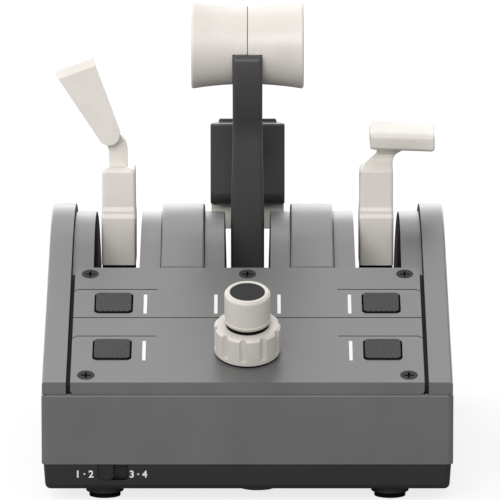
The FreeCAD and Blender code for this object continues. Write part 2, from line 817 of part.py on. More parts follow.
def make_lever_channel(name, centre, inner, outer):
    """Trough for one lever: two shoulders, a floor with the drum opening, open at the back."""
    body = new_body(name)
    slab(body, hump_outline("shoulder_drop", "cover_front", "seam"), inner, outer)
    slot = ("(%s) - slot_width/2" % centre, "(%s) + slot_width/2" % centre)
    trough = new_sketch(body, "XZ", "-rear")
    crest = "hump_z + hump_radius - shoulder_drop"
    foot = "(slot_width/2 - (%s - floor_top)*tan(slot_draft))" % crest
    top = "(slot_width/2 + shoulder_drop*tan(slot_draft))"
    outline(trough, [
        ("(%s) - %s" % (centre, foot), "floor_top"), ("(%s) + %s" % (centre, foot), "floor_top"),
        ("(%s) + %s" % (centre, top), "hump_z + hump_radius"), ("(%s) - %s" % (centre, top), "hump_z + hump_radius"),
    ])
    pocket(trough, "rear - cover_front - wall")
    opening = new_sketch(body, "YZ", slot[0])
    circle(opening, "pivot_y", "pivot_height", "drum_radius + drum_gap")
    pocket(opening, "slot_width")
    hollow = hump_outline("shoulder_drop + wall", "cover_front + wall", "seam")
    slab(body, hollow, "(%s) + skin" % inner, "%s - skin" % slot[0], cut=True)
    slab(body, hollow, "%s + skin" % slot[1], "(%s) - skin" % outer, cut=True)
    return body


def add_centre_boss(body):
    """Gusset on the front wall of the centre channel that takes the middle panel screw."""
    y_low = "cover_front - 2*screw_boss"
    gap = "panel_thickness + ledge_gap"
    slab(body, [
        (y_low, slope_z(y_low, "screw_boss_depth")), ("cover_front", slope_z("cover_front", "3*screw_boss_depth")),
        ("cover_front", slope_z("cover_front", gap)), (y_low, slope_z(y_low, gap)),
    ], "-screw_boss", "screw_boss")
    hole = panel_sketch(body)
    circle(hole, "0", "screw_row_high", "screw_shank_radius")
    pocket(hole, "screw_length", reverse=True)


# ---------------------------------------------------------------- control panel
def make_front_panel():
    """Sloping plate with a lip folded down over the front, in its own panel frame."""
    body = new_body("front_panel")
    thick = "panel_thickness"
    fold = "%s*(1 - sin(panel_slope))/cos(panel_slope)" % thick
    lip_y = "-lip_height*sin(panel_slope)"
    lip_z = "-lip_height*cos(panel_slope)"
    side = new_sketch(body, "YZ", "-panel_half_width")
    outline(side, [
        ("0", "0"), (lip_y, lip_z),
        (lip_y + " + %s*cos(panel_slope)" % thick, lip_z + " - %s*sin(panel_slope)" % thick),
        (fold, "-" + thick), ("panel_length - %s*tan(panel_slope)" % thick, "-" + thick),
        ("panel_length", "0"),
    ])
    pad(side, "2*panel_half_width")
    far = value("panel_length - panel_thickness")
    dress(body, "Fillet", "panel_corner", lambda e: span(e, "y")[0] > far - 1 and span(e, "z")[1] > -1e-3
          and span(e, "z")[0] < value("-panel_thickness") + 1e-3)
    dress(body, "Fillet", "lip_corner", lambda e: span(e, "y")[1] < 1.3 and span(e, "x")[1] - span(e, "x")[0] < 1e-3
          and abs(span(e, "z")[0] - value("-lip_height*cos(panel_slope) - panel_thickness*sin(panel_slope)")) < 1e-3
          and abs(span(e, "z")[1] - value(lip_z)) < 1e-3)
    posts = new_sketch(body, "XY", "-board_depth")
    for x in ("-post_x", "post_x"):
        for y in ("post_row_low", "post_row_high"):
            circle(posts, x, y, "post_radius")
    pad(posts, "board_depth - panel_thickness/2")
    through = new_sketch(body, "XY", "-board_depth")
    for x in ("-button_x", "button_x"):
        for y in ("button_row_low", "button_row_high"):
            rounded(through, "%s - button_width/2 - button_gap" % x, "%s - button_length/2 - button_gap" % y,
                    "%s + button_width/2 + button_gap" % x, "%s + button_length/2 + button_gap" % y,
                    "button_corner + button_gap")
    circle(through, "0", "knob_row", "ring_tube_radius + button_gap")
    for x, y in panel_screw_places:
        circle(through, x, y, "screw_shank_radius")
    pocket(through, "board_depth + panel_thickness")
    sinks = new_sketch(body, "XY", "-screw_head_height")
    for x, y in panel_screw_places:
        circle(sinks, x, y, "screw_head_radius")
    pocket(sinks, "panel_thickness")
    lines = new_sketch(body, "XY", "-engraving_depth")
    half = "engraving_width/2"
    edge = "panel_half_width"
    turn = "3*engraving_width"
    for side in (1, -1):
        for row in ("lower_line", "upper_line"):
            run = [
                ("line_inner_end", "%s - %s" % (row, half)),
                ("%s - %s" % (edge, turn), "%s - %s" % (row, half)),
                (edge, "%s - %s - %s" % (row, half, turn)), (edge, "%s + %s - %s" % (row, half, turn)),
                ("%s - %s" % (edge, turn), "%s + %s" % (row, half)),
                ("line_inner_end", "%s + %s" % (row, half)),
            ]
            outline(lines, [("%d*(%s)" % (side, u), v) for u, v in run])
    rectangle(lines, "-" + edge, "middle_line - %s" % half, edge, "middle_line + %s" % half)
    pocket(lines, "panel_thickness")
    place_on_panel(body)
    return body


panel_screw_places = [("-screw_x", "screw_row_low"), ("screw_x", "screw_row_low"),
                      ("-screw_x", "screw_row_high"), ("0", "screw_row_high"), ("screw_x", "screw_row_high")]


def make_panel_screws():
    """Five cross-head screws, their heads flush with the panel."""
    body = new_body("panel_screws")
    body.AllowCompound = True
    head = new_sketch(body, "XY", "-screw_head_height")
    shank = new_sketch(body, "XY", "-screw_length")
    for x, y in panel_screw_places:
        circle(head, x, y, "screw_head_radius")
        circle(shank, x, y, "screw_shank_radius")
    pad(head, "screw_head_height")
    pad(shank, "screw_length - screw_head_height/2")
    for wide, tall in (("cross_length", "cross_width"), ("cross_width", "cross_length")):
        slot = new_sketch(body, "XY", "-cross_depth")
        for x, y in panel_screw_places:
            rectangle(slot, "%s - %s/2" % (x, wide), "%s - %s/2" % (y, tall),
                      "%s + %s/2" % (x, wide), "%s + %s/2" % (y, tall))
        pocket(slot, "screw_head_height")
    place_on_panel(body)
    return body


def make_button(name, x, y):
    """Square key: slightly rounded cap with a stem that reaches its switch."""
    body = new_body(name)
    cap = new_sketch(body, "XY", "-button_body")
    rounded(cap, "-button_width/2", "-button_length/2", "button_width/2", "button_length/2", "button_corner")
    pad(cap, "button_body + button_rise")
    dress(body, "Fillet", "button_rise/2", at("z", "button_rise"))
    stem = new_sketch(body, "XY", "-(board_depth - switch_height - button_travel - button_gap)")
    circle(stem, "0", "0", "button_stem")
    pad(stem, "board_depth - switch_height - button_travel - button_gap - button_body/2")
    place_on_panel(body, y)
    body.Placement.Base.x = value(x)
    bind(body, "Placement.Base.x", x)
    return body


def make_button_board():
    """Circuit board under the panel with a switch below each button."""
    body = new_body("button_board")
    plate = new_sketch(body, "XY", "-board_depth - board_thickness")
    rectangle(plate, "-board_half_width", "board_start", "board_half_width", "board_end")
    pad(plate, "board_thickness")
    switches = new_sketch(body, "XY", "-board_depth - board_thickness/2")
    for x in ("-button_x", "button_x"):
        for y in ("button_row_low", "button_row_high"):
            rectangle(switches, "%s - switch_side/2" % x, "%s - switch_side/2" % y,
                      "%s + switch_side/2" % x, "%s + switch_side/2" % y)
    pad(switches, "switch_height + board_thickness/2")
    hole = new_sketch(body, "XY", "-board_depth - board_thickness")
    circle(hole, "0", "knob_row", "bushing_radius")
    pocket(hole, "board_thickness")
    place_on_panel(body)
    return body


# ---------------------------------------------------------------- dual knob
def make_encoder_body():
    body = new_body("encoder_body")
    case = new_sketch(body, "XY", "encoder_bottom")
    rectangle(case, "-encoder_side/2", "-encoder_side/2", "encoder_side/2", "encoder_side/2")
    pad(case, "encoder_height")
    bushing = new_sketch(body, "XY", "-board_depth - board_thickness")
    circle(bushing, "0", "0", "bushing_radius")
    pad(bushing, "board_depth + board_thickness - panel_thickness")
    bore = new_sketch(body, "XY", "encoder_bottom + encoder_height/8")
    circle(bore, "0", "0", "rotor_radius + running_fit")
    pocket(bore, "board_depth + board_thickness + encoder_height")
    place_on_panel(body, "knob_row")
    return body


def make_encoder_rotor():
    """Sleeve that turns with the inner knob and lets its shaft slide."""
    body = new_body("encoder_rotor")
    ring = new_sketch(body, "XY", "encoder_bottom + encoder_height/8 + cover_gap")
    circle(ring, "0", "0", "rotor_radius")
    circle(ring, "0", "0", "knob_shaft_radius + running_fit")
    pad(ring, "board_depth + board_thickness + encoder_height*7/8 - panel_thickness - 2*cover_gap")
    place_on_panel(body, "knob_row")
    return body


def make_knob_ring():
    """Outer knob: ten flutes that stop above the foot of the ring, and a tube on the bushing."""
    body = new_body("knob_ring")
    side = new_sketch(body, "XZ")
    bore = "bushing_radius + running_fit"
    outline(side, [
        (bore, "-ring_tube_end"), ("ring_tube_radius", "-ring_tube_end"), ("ring_tube_radius", "ring_lift"),
        ("ring_radius - knob_bevel/2", "ring_lift"), ("ring_radius", "ring_lift + knob_bevel/2"),
        ("ring_radius", "ring_top - knob_bevel"), ("ring_radius - knob_bevel", "ring_top"),
        ("ring_recess_radius", "ring_top"), ("ring_recess_radius", "ring_top - ring_recess_depth"),
        (bore, "ring_top - ring_recess_depth"),
    ])
    revolve(side, "V_Axis")
    flute = new_sketch(body, "XY", "ring_lift + flute_stop")
    circle(flute, "-flute_centre*sin(flute_turn)", "-flute_centre*cos(flute_turn)", "flute_radius")
    polar(pocket(flute, "ring_height"), "flute_count")
    place_on_panel(body, "knob_row")
    return body


def make_inner_knob():
    """Inner knob: fine upright ribs, bevelled rim, recess for the cap and a long shaft."""
    body = new_body("inner_knob")
    side = new_sketch(body, "XZ")
    foot = "encoder_bottom + encoder_height/8 + cover_gap + knob_push"
    outline(side, [
        ("0", foot), ("knob_shaft_radius", foot), ("knob_shaft_radius", "knob_bottom"),
        ("knob_skirt_radius", "knob_bottom"), ("knob_radius", "knob_bottom + knob_skirt_height"),
        ("knob_radius", "knob_top - knob_bevel"),
        ("knob_radius - knob_bevel", "knob_top"), ("cap_radius", "knob_top"),
        ("cap_radius", "knob_top - cap_thickness"), ("0", "knob_top - cap_thickness"),
    ])
    revolve(side, "V_Axis")
    rib = new_sketch(body, "XY", "knob_bottom + 2*knob_skirt_height")
    circle(rib, "0", "-knob_radius", "rib_radius")
    polar(pocket(rib, "knob_height"), "rib_count")
    place_on_panel(body, "knob_row")
    return body


def make_knob_cap():
    cap = rod("knob_cap", "cap_radius", "cap_thickness", "0", "0", "0")
    cap.setExpression("Placement.Base.x", None)
    height = "(knob_top - cap_thickness)"
    place(cap, y="upper_front + knob_row*cos(panel_slope) - %s*sin(panel_slope)" % height,
          z="lip_top + knob_row*sin(panel_slope) + %s*cos(panel_slope)" % height, tilt="panel_slope")
    return node(cap, "knob_cap")


# ---------------------------------------------------------------- engine selector
def make_selector_slider():
    """Ribbed thumb slide with a flange behind the wall of the pan."""
    body = new_body("selector_slider")
    left = "selector_x - selector_window/2 + slider_gap"
    low = "pan_top - selector_drop + slider_gap"
    high = "pan_top - slider_gap"
    flange = new_sketch(body, "XZ", "-slider_inside - slider_flange_thickness")
    rectangle(flange, "%s + slider_width - slider_flange" % left, low, "%s + slider_width" % left, high)
    pad(flange, "slider_flange_thickness")
    knob = new_sketch(body, "XZ", "-slider_inside - slider_flange_thickness/2")
    right = "%s + slider_width" % left
    turn = "(selector_corner - slider_gap)"
    outline(knob, [
        ("%s + %s" % (left, turn), low, turn), ("%s - %s" % (right, turn), low),
        (right, "%s + %s" % (low, turn), turn), (right, high), (left, high), (left, "%s + %s" % (low, turn)),
    ])
    pad(knob, "slider_inside + slider_flange_thickness/2 - pan_front + slider_proud")
    grooves = new_sketch(body, "XZ", "-pan_front + slider_proud - slider_rib_depth")
    for number in range(int(value("slider_ribs"))):
        start = "%s + slider_width*%d/(2*slider_ribs + 1)" % (left, 2 * number + 1)
        rectangle(grooves, start, low, "%s + slider_width/(2*slider_ribs + 1)" % start, high)
    pocket(grooves, "slider_rib_depth")
    return body


def make_switch_body():
    near = "slider_inside + slider_flange_thickness + slider_gap"
    part = box("switch_body", "selector_x - selector_window", "selector_x + selector_window",
               near, "%s + 2*selector_drop" % near, "pan_floor", "pan_top - slider_gap")
    return node(part, "switch_body")


# ---------------------------------------------------------------- pivot and bearings
def make_pivot_shaft():
    shaft = rod("pivot_shaft", "shaft_radius", "shaft_length", "-shaft_length/2", "pivot_y", "pivot_height", "x")
    return node(shaft, "pivot_shaft")


def make_bearing_bracket(number, x, sign):
    """Steel upright with a foot that is screwed to the pan, bored for the pivot shaft."""
    body = new_body("bearing_bracket_%d" % number)
    half = "bracket_span/2"
    web = new_sketch(body, "YZ", "(%s) - bracket_thickness/2" % x)
    top = "pivot_height + bracket_head"
    outline(web, [
        ("pivot_y - %s" % half, "pan_floor"), ("pivot_y + %s" % half, "pan_floor"),
        ("pivot_y + %s" % half, "pan_floor + bracket_foot_rise"), ("pivot_y + bracket_head", "pivot_height"),
        ("pivot_y", top, "bracket_head"), ("pivot_y - bracket_head", "pivot_height", "bracket_head"),
        ("pivot_y - %s" % half, "pan_floor + bracket_foot_rise"),
    ])
    pad(web, "bracket_thickness")
    foot = new_sketch(body, "XY", "pan_floor")
    inner = "(%s)" % x
    outer = "(%s) + %d*(bracket_thickness/2 + bracket_foot)" % (x, sign)
    low, high = (inner, outer) if sign > 0 else (outer, inner)
    rectangle(foot, low, "pivot_y - %s" % half, high, "pivot_y + %s" % half)
    pad(foot, "bracket_foot_rise")
    bore = new_sketch(body, "YZ", "(%s) - bracket_thickness" % x)
    circle(bore, "pivot_y", "pivot_height", "shaft_radius")
    pocket(bore, "2*bracket_thickness")
    holes = new_sketch(body, "XY", "pan_floor")
    for y in ("pivot_y - bracket_span/2 + 6", "pivot_y + bracket_span/2 - 6"):
        circle(holes, bracket_screw_x(x, sign), y, "base_screw_radius")
    pocket(holes, "bracket_foot_rise")
    return body


def make_bracket_screws():
    screws = []
    for x, sign in bracket_places:
        for y in ("pivot_y - bracket_span/2 + 6", "pivot_y + bracket_span/2 - 6"):
            place_x = bracket_screw_x(x, sign)
            screw = doc.addObject("Part::Fuse", "bracket_screw")
            screw.Base = rod("head", "base_screw_head", "base_screw_head_height", place_x, y,
                             "pan_floor + bracket_foot_rise")
            screw.Tool = rod("shank", "base_screw_radius", "bracket_foot_rise + wall", place_x, y, "pan_bottom")
            screws.append(screw)
    return node(group("bracket_screws", screws), "bracket_screws")


def make_shaft_collars():
    collars = []
    for centre in ("-lever_pitch", "0", "lever_pitch"):
        for start in ("(%s) - drum_width/2 - collar_play - collar_width", "(%s) + drum_width/2 + collar_play"):
            collars.append(tube("collar", "collar_radius", "shaft_radius", "collar_width",
                                start % centre, "pivot_y", "pivot_height", "x"))
    return node(group("shaft_collars", collars), "shaft_collars")


def make_lever_sensors():
    """Three small boards on the pan, each with a Hall chip facing a lever's magnet ring."""
    sensors = []
    for centre in ("-lever_pitch", "0", "lever_pitch"):
        face = "(%s) + drum_width/2 + collar_play" % centre
        sensor = doc.addObject("Part::Fuse", "sensor")
        sensor.Base = box("board", "%s + board_thickness/2" % face, "%s + 3*board_thickness/2" % face,
                          "pivot_y - sensor_width/2", "pivot_y + sensor_width/2", "pan_floor", "sensor_rise")
        sensor.Tool = box("chip", face, "%s + board_thickness" % face, "pivot_y - sensor_width/6",
                          "pivot_y + sensor_width/6", "sensor_rise - sensor_width/3", "sensor_rise")
        sensors.append(sensor)
    return node(group("lever_sensors", sensors), "lever_sensors")


def make_main_board():
    body = new_body("main_board")
    plate = new_sketch(body, "XY", "main_board_height")
    rectangle(plate, "-main_board_half_width", "main_board_start", "main_board_half_width", "main_board_end")
    pad(plate, "board_thickness")
    chip = new_sketch(body, "XY", "main_board_height + board_thickness/2")
    rectangle(chip, "-2*switch_side", "main_board_start + 2*switch_side", "-switch_side/2",
              "main_board_start + 4*switch_side")
    pad(chip, "2*board_thickness")
    return body


def make_usb_socket():
    body = new_body("usb_socket")
    low = "main_board_height + board_thickness"
    shell = new_sketch(body, "XZ", "-rear + seam_step")
    rounded(shell, "-socket_width/2", low, "socket_width/2", "%s + socket_height" % low, "socket_height/3")
    pad(shell, "socket_length")
    mouth = new_sketch(body, "XZ", "-rear")
    rounded(mouth, "-socket_width/2 + socket_gap", "%s + socket_gap" % low, "socket_width/2 - socket_gap",
            "%s + socket_height - socket_gap" % low, "socket_height/4")
    pocket(mouth, "socket_length - seam_step")
    return body


# ---------------------------------------------------------------- levers
def lever_x(place_name):
    return {"left": "-lever_pitch", "centre": "0", "right": "lever_pitch"}[place_name]


def place_on_pivot(thing, where):
    """Lever frame: origin on the pivot axis, in the middle of the lever's channel."""
    place(thing, x=lever_x(where), y="pivot_y", z="pivot_height")


def add_drum(body):
    """Round hub that fills the opening in the channel floor, dished on both sides."""
    drum = new_sketch(body, "YZ", "-drum_width/2")
    circle(drum, "0", "0", "drum_radius")
    pad(drum, "drum_width")
    for start in ("-drum_width/2", "web_thickness/2"):
        dish = new_sketch(body, "YZ", start)
        circle(dish, "0", "0", "drum_radius - rim_thickness")
        circle(dish, "0", "0", "hub_radius")
        pocket(dish, "(drum_width - web_thickness)/2")


def add_bore(body):
    bore = new_sketch(body, "YZ", "-drum_width/2")
    circle(bore, "0", "0", "bush_radius")
    pocket(bore, "drum_width")


def make_plain_arm(name, where):
    """Drum with a flat bar that carries the sleeve."""
    body = new_body(name)
    add_drum(body)
    bar = new_sketch(body, "XY", "drum_radius - rim_thickness")
    rectangle(bar, "-arm_width/2", "-arm_depth/2", "arm_width/2", "arm_depth/2")
    pad(bar, "sleeve_end - sleeve_roof - drum_radius + rim_thickness")
    add_bore(body)
    place_on_pivot(body, where)
    return body


def make_bush(name, where):
    start = "(%s) - drum_width/2" % lever_x(where)
    bush = tube(name, "bush_radius", "shaft_radius + running_fit", "drum_width", start,
                "pivot_y", "pivot_height", "x")
    return node(bush, name)


def make_magnet(name, where):
    start = "(%s) + drum_width/2 - magnet_width" % lever_x(where)
    magnet = tube(name, "magnet_radius", "hub_radius", "magnet_width", start, "pivot_y", "pivot_height", "x")
    return node(magnet, name)


def add_sleeve_base(body):
    """Lower, deeper part of a sleeve, which steps out at the height of the shoulders."""
    reach = "(sleeve_depth/2 + sleeve_step)"
    lower = new_sketch(body, "YZ", "-sleeve_width/2")
    outline(lower, [
        ("-%s" % reach, "sleeve_start"), (reach, "sleeve_start"), (reach, "sleeve_step_height"),
        ("sleeve_depth/2", "sleeve_step_height + sleeve_step_rise"),
        ("-sleeve_depth/2", "sleeve_step_height + sleeve_step_rise"),
        ("-sleeve_depth/2 - sleeve_step/2", "sleeve_step_height + 0.6*sleeve_step_rise"),
        ("-sleeve_depth/2 - sleeve_step/2", "sleeve_step_height + 0.4*sleeve_step_rise"),
        ("-%s" % reach, "sleeve_step_height"),
    ])
    pad(lower, "sleeve_width")


def cut_sleeve_bore(body):
    bore = new_sketch(body, "XY", "sleeve_start")
    rectangle(bore, "-arm_width/2", "-arm_depth/2", "arm_width/2", "arm_depth/2")
    pocket(bore, "sleeve_end - sleeve_roof - sleeve_start")


def below_step(edge):
    return along("z")(edge) and abs(span(edge, "z")[0] - value("sleeve_start")) < 1e-3 \
        and abs(span(edge, "z")[1] - value("sleeve_step_height")) < 1e-3


def make_speedbrake_sleeve():
    body = new_body("speedbrake_sleeve")
    upper = new_sketch(body, "XY", "sleeve_start")
    rounded(upper, "-sleeve_width/2", "-sleeve_depth/2", "sleeve_width/2", "sleeve_depth/2", "sleeve_corner")
    pad(upper, "sleeve_end - sleeve_start")
    dress(body, "Fillet", "0.8*sleeve_corner", at("z", "sleeve_end"))
    add_sleeve_base(body)
    dress(body, "Fillet", "sleeve_corner", below_step)
    cut_sleeve_bore(body)
    place_on_pivot(body, "left")
    return body


def make_speedbrake_paddle():
    """Flat blade that leans outward, on a short bent neck."""
    body = new_body("speedbrake_paddle")
    neck = new_sketch(body, "XZ", "-neck_thickness/2 - 1")
    outline(neck, [
        ("-4.6", "sleeve_end"), ("4", "sleeve_end"), ("4", "98.5"), ("0.4", "107.6", "13.3"),
        ("-1", "109.6"), ("-9", "108.6"), ("-4.6", "99", "24", "right"),
    ])
    pad(neck, "neck_thickness")
    blade = new_sketch(body, "XZ", "neck_thickness/2 - 1")
    outline(blade, [
        ("-30.3", "137.6"), ("-8.7", "105"), ("0.4", "109.8", "5.2"), ("-12.1", "144.2"),
    ])
    pad(blade, "paddle_thickness")
    front = value("-(neck_thickness/2 - 1 + paddle_thickness)")
    dress(body, "Chamfer", "paddle_bevel",
          lambda e: abs(span(e, "y")[0] - front) < 1e-3 and abs(span(e, "y")[1] - front) < 1e-3
          and span(e, "z")[0] > 130)
    place_on_pivot(body, "left")
    return body


THRUST_REAR = [("6", "40"), ("7", "66"), ("8", "thrust_knee"), ("11", "128")]
THRUST_FRONT = [("-10.5", "thrust_knee"), ("-8", "66"), ("-6", "40")]


def thrust_outline():
    """Side outline of the thrust arm: slender at the drum, a cradle for the grip on top."""
    low = "grip_height - sqrt(cradle_radius^2 - 10^2)"
    tip = "grip_height - 2.1"
    tip_y = "-sqrt(cradle_radius^2 - 2.1^2)"
    face = "-grip_waist_radius - 3.5"
    return ([("6", "drum_radius - rim_thickness")] + THRUST_REAR + [
        ("10", low), (tip_y, tip, "cradle_radius", "right"), ("%s + 3" % face, tip),
        (face, "%s - 3" % tip, "3"), (face, "grip_height - 18"), ("-14", "116"),
    ] + THRUST_FRONT + [("-6", "drum_radius - rim_thickness")])


def add_tang(body, half, build):
    """Round tongue of the thrust arm inside the grip, with its web."""
    tang = new_sketch(body, "YZ", "-(%s)" % half)
    circle(tang, "0", "grip_height", "tang_radius")
    build(tang, "2*(%s)" % half)
    web = new_sketch(body, "YZ", "-(%s)" % half)
    rectangle(web, "-tang_radius/2", "grip_height - cradle_radius - 1", "tang_radius/2", "grip_height")
    build(web, "2*(%s)" % half)


def make_thrust_arm():
    body = new_body("thrust_arm")
    add_drum(body)
    upper = new_sketch(body, "YZ", "-thrust_width/2")
    outline(upper, thrust_outline())
    pad(upper, "thrust_width")
    lower = new_sketch(body, "YZ", "-thrust_root_width/2")
    outline(lower, [("6", "drum_radius - rim_thickness")] + THRUST_REAR[:3] + THRUST_FRONT
            + [("-6", "drum_radius - rim_thickness")])
    pad(lower, "thrust_root_width")
    lug = new_sketch(body, "YZ", "-thrust_width/2")
    circle(lug, "reverser_back", "reverser_height", "reverser_lug_radius")
    pad(lug, "thrust_width")
    add_tang(body, "tang_thickness/2", pad)
    fork = new_sketch(body, "YZ", "-reverser_link_width/2 - reverser_side_gap")
    reach = "(reverser_eye_radius + 2*reverser_side_gap)"
    rectangle(fork, "reverser_back - %s" % reach, "reverser_height - 2*%s" % reach,
              "reverser_back + 2*%s" % reach, "reverser_height + 2*%s" % reach)
    pocket(fork, "reverser_link_width + 2*reverser_side_gap")
    holes = new_sketch(body, "YZ", "-thrust_width/2")
    circle(holes, "reverser_back", "reverser_height", "reverser_pin_radius")
    circle(holes, "0", "grip_height", "bolt_radius")
    pocket(holes, "thrust_width")
    add_bore(body)
    place_on_pivot(body, "centre")
    return body


def make_thrust_grip(side):
    """One half of the waisted grip, cut away where the arm holds it."""
    name = "thrust_grip_right" if side > 0 else "thrust_grip_left"
    body = new_body(name)
    profile = new_sketch(body, "XZ", lift="grip_height")
    near, far = "%d*grip_seam" % side, "%d*grip_half_length" % side
    rim = ("%d*(grip_half_length - grip_rim)" % side, "grip_end_radius", "grip_rim")
    bow = (near, "grip_waist_radius", "grip_bow")
    outline(profile, [
        (near, "0"), (far, "0"), (far, "grip_end_radius - grip_rim"),
        rim if side > 0 else rim + ("right",), bow if side < 0 else bow + ("right",),
    ])
    revolve(profile, "H_Axis")
    seat = new_sketch(body, "YZ", "-thrust_width/2")
    outline(seat, thrust_outline())
    pocket(seat, "thrust_width")
    add_tang(body, "tang_thickness/2", pocket)
    bolt = new_sketch(body, "YZ", "-bolt_length/2")
    circle(bolt, "0", "grip_height", "bolt_radius")
    pocket(bolt, "bolt_length")
    depth = "thumb_depth + thumb_travel + thumb_gap"
    bore = new_sketch(body, "YZ", "grip_half_length - (%s)" % depth if side > 0 else "-grip_half_length")
    circle(bore, "0", "grip_height", "thumb_radius + thumb_gap")
    pocket(bore, depth)
    place_on_pivot(body, "centre")
    return body


def make_thumb_button(side):
    name = "thumb_button_right" if side > 0 else "thumb_button_left"
    body = new_body(name)
    start = "grip_half_length - thumb_depth" if side > 0 else "-grip_half_length - thumb_rise"
    disc = new_sketch(body, "YZ", start)
    circle(disc, "0", "grip_height", "thumb_radius")
    pad(disc, "thumb_depth + thumb_rise")
    dress(body, "Fillet", "thumb_rise", at("x", "%d*(grip_half_length + thumb_rise)" % side))
    place_on_pivot(body, "centre")
    return body


def make_grip_bolt():
    bolt = rod("grip_bolt", "bolt_radius", "bolt_length", "-bolt_length/2", "pivot_y",
               "pivot_height + grip_height", "x")
    return node(bolt, "grip_bolt")


def make_reverser_pin():
    pin_rod = rod("reverser_pin", "reverser_pin_radius", "thrust_width", "-thrust_width/2",
                  "pivot_y + reverser_back", "pivot_height + reverser_height", "x")
    return node(pin_rod, "reverser_pin")


def make_reverser_link():
    """Curved bar from the pin to the pad."""
    body = new_body("reverser_link")
    bar = new_sketch(body, "YZ", "-reverser_link_width/2")
    eye = "reverser_eye_radius"
    outline(bar, [
        ("reverser_back", "reverser_height - %s" % eye), ("pad_back", "pad_low + 24", "60"),
        ("pad_back", "pad_high - 6"), ("reverser_back", "reverser_height + %s" % eye, "60", "right"),
    ])
    pad(bar, "reverser_link_width")
    boss = new_sketch(body, "YZ", "-reverser_link_width/2")
    circle(boss, "reverser_back", "reverser_height", eye)
    pad(boss, "reverser_link_width")
    bore = new_sketch(body, "YZ", "-reverser_link_width/2")
    circle(bore, "reverser_back", "reverser_height", "reverser_pin_radius + running_fit")
    pocket(bore, "reverser_link_width")
    place_on_pivot(body, "centre")
    return body


def make_reverser_pad():
    """Dark grip block, flat in front, narrower behind and curved under at its foot."""
    body = new_body("reverser_pad")
    side = new_sketch(body, "YZ", "-pad_half_width")
    front, back = "pad_back", "pad_back + pad_depth"
    outline(side, [
        ("%s + pad_foot" % front, "pad_low", "pad_foot"), (back, "pad_low"), (back, "pad_high"),
        ("%s + pad_depth/10" % front, "pad_high"), (front, "pad_high - pad_depth/10", "pad_depth/10"),
        (front, "pad_low + pad_foot"),
    ])
    pad(side, "2*pad_half_width")
    corners = new_sketch(body, "XY", "pad_low")
    for hand in (-1, 1):
        wide, narrow = "%d*pad_half_width" % hand, "%d*pad_rear_half_width" % hand
        outline(corners, [(wide, "%s + pad_depth/3" % front), (wide, back), (narrow, back)])
    pocket(corners, "pad_high - pad_low")
    place_on_pivot(body, "centre")
    return body


def make_reverser_pull():
    """Light finger bar behind and below the pad."""
    body = new_body("reverser_pull")
    side = new_sketch(body, "YZ", "-pull_half_width")
    near = "pad_back + pull_setback"
    outline(side, [
        (near, "pad_low - pull_drop"), ("%s + pull_depth" % near, "pad_low - pull_drop/2", "pull_depth"),
        ("%s + pull_depth" % near, "pad_low + pull_drop"), ("pad_back + pad_depth", "pad_low + pull_drop"),
        ("pad_back + pad_depth", "pad_low"), (near, "pad_low"),
    ])
    pad(side, "2*pull_half_width")
    place_on_pivot(body, "centre")
    return body


def flap_bend(z):
    """Left edge of the flap sleeve and neck at a height on their common arc."""
    return "-sleeve_width/2 + flap_bend_radius - sqrt(flap_bend_radius^2 - (%s - flap_bend_start)^2)" % z


def make_flap_sleeve():
    body = new_body("flap_sleeve")
    upper = new_sketch(body, "XZ", "-sleeve_depth/2")
    half = "sleeve_width/2"
    outline(upper, [
        ("-" + half, "sleeve_start"), (half, "sleeve_start"), (half, "flap_sleeve_end"),
        (flap_bend("flap_sleeve_end"), "flap_sleeve_end"),
        ("-" + half, "flap_bend_start", "flap_bend_radius"),
    ])
    pad(upper, "sleeve_depth")
    dress(body, "Fillet", "sleeve_corner/2", lambda e: span(e, "z")[1] - span(e, "z")[0] > 20
          and span(e, "x")[1] - span(e, "x")[0] < 1)
    add_sleeve_base(body)
    dress(body, "Fillet", "sleeve_corner", below_step)
    cut_sleeve_bore(body)
    place_on_pivot(body, "right")
    return body


def make_flap_handle():
    """Wedge-shaped bar that reaches outward over its curved neck."""
    body = new_body("flap_handle")
    neck = new_sketch(body, "XZ", "-flap_neck_thickness/2")
    side = "sleeve_width/2 - 0.3"
    top = "flap_handle_low + 1.2"
    bend_top = "(flap_bend_start + flap_bend_radius*0.707)"
    outline(neck, [
        (flap_bend("flap_sleeve_end"), "flap_sleeve_end", "flap_bend_radius"), (side, "flap_sleeve_end"),
        (side, "%s - flap_neck_fillet" % top), ("%s + flap_neck_fillet" % side, top, "flap_neck_fillet", "right"),
        ("%s + (%s) - %s" % (flap_bend(bend_top), top, bend_top), top), (flap_bend(bend_top), bend_top),
    ])
    pad(neck, "flap_neck_thickness")
    bar = new_sketch(body, "YZ", "-flap_handle_inner")
    near, far = "-flap_handle_half_depth", "flap_handle_half_depth"
    low, front, back = "flap_handle_low", "flap_handle_front", "flap_handle_back"
    outline(bar, [
        ("%s + 2" % near, low, "2"), ("%s - 2" % far, "%s + 2.4" % low), (far, "%s + 4.6" % low, "2.2"),
        (far, "%s - 2" % back), ("%s - 2.2" % far, back, "2.2"), ("%s + 2.5" % near, "%s + 0.3" % front),
        (near, "%s - 2" % front, "2.6"), (near, "%s + 2" % low),
    ])
    pad(bar, "flap_handle_inner + flap_handle_reach")
    place_on_pivot(body, "right")
    return body


# ---------------------------------------------------------------- assembly
make_base_pan()
make_lower_housing()
make_foot_group()
make_clamp_insert()
make_base_screws()
for hand in (-1, 1):
    make_side_rail(hand)
    make_middle_cover(hand)
make_lever_channel("lever_channel_left", "-lever_pitch", "-rail_inner + cover_gap", "-cover_outer - cover_gap")
centre_channel = make_lever_channel("lever_channel_centre", "0", "-cover_inner + cover_gap",
                                    "cover_inner - cover_gap")
add_centre_boss(centre_channel)
make_lever_channel("lever_channel_right", "lever_pitch", "cover_outer + cover_gap", "rail_inner - cover_gap")

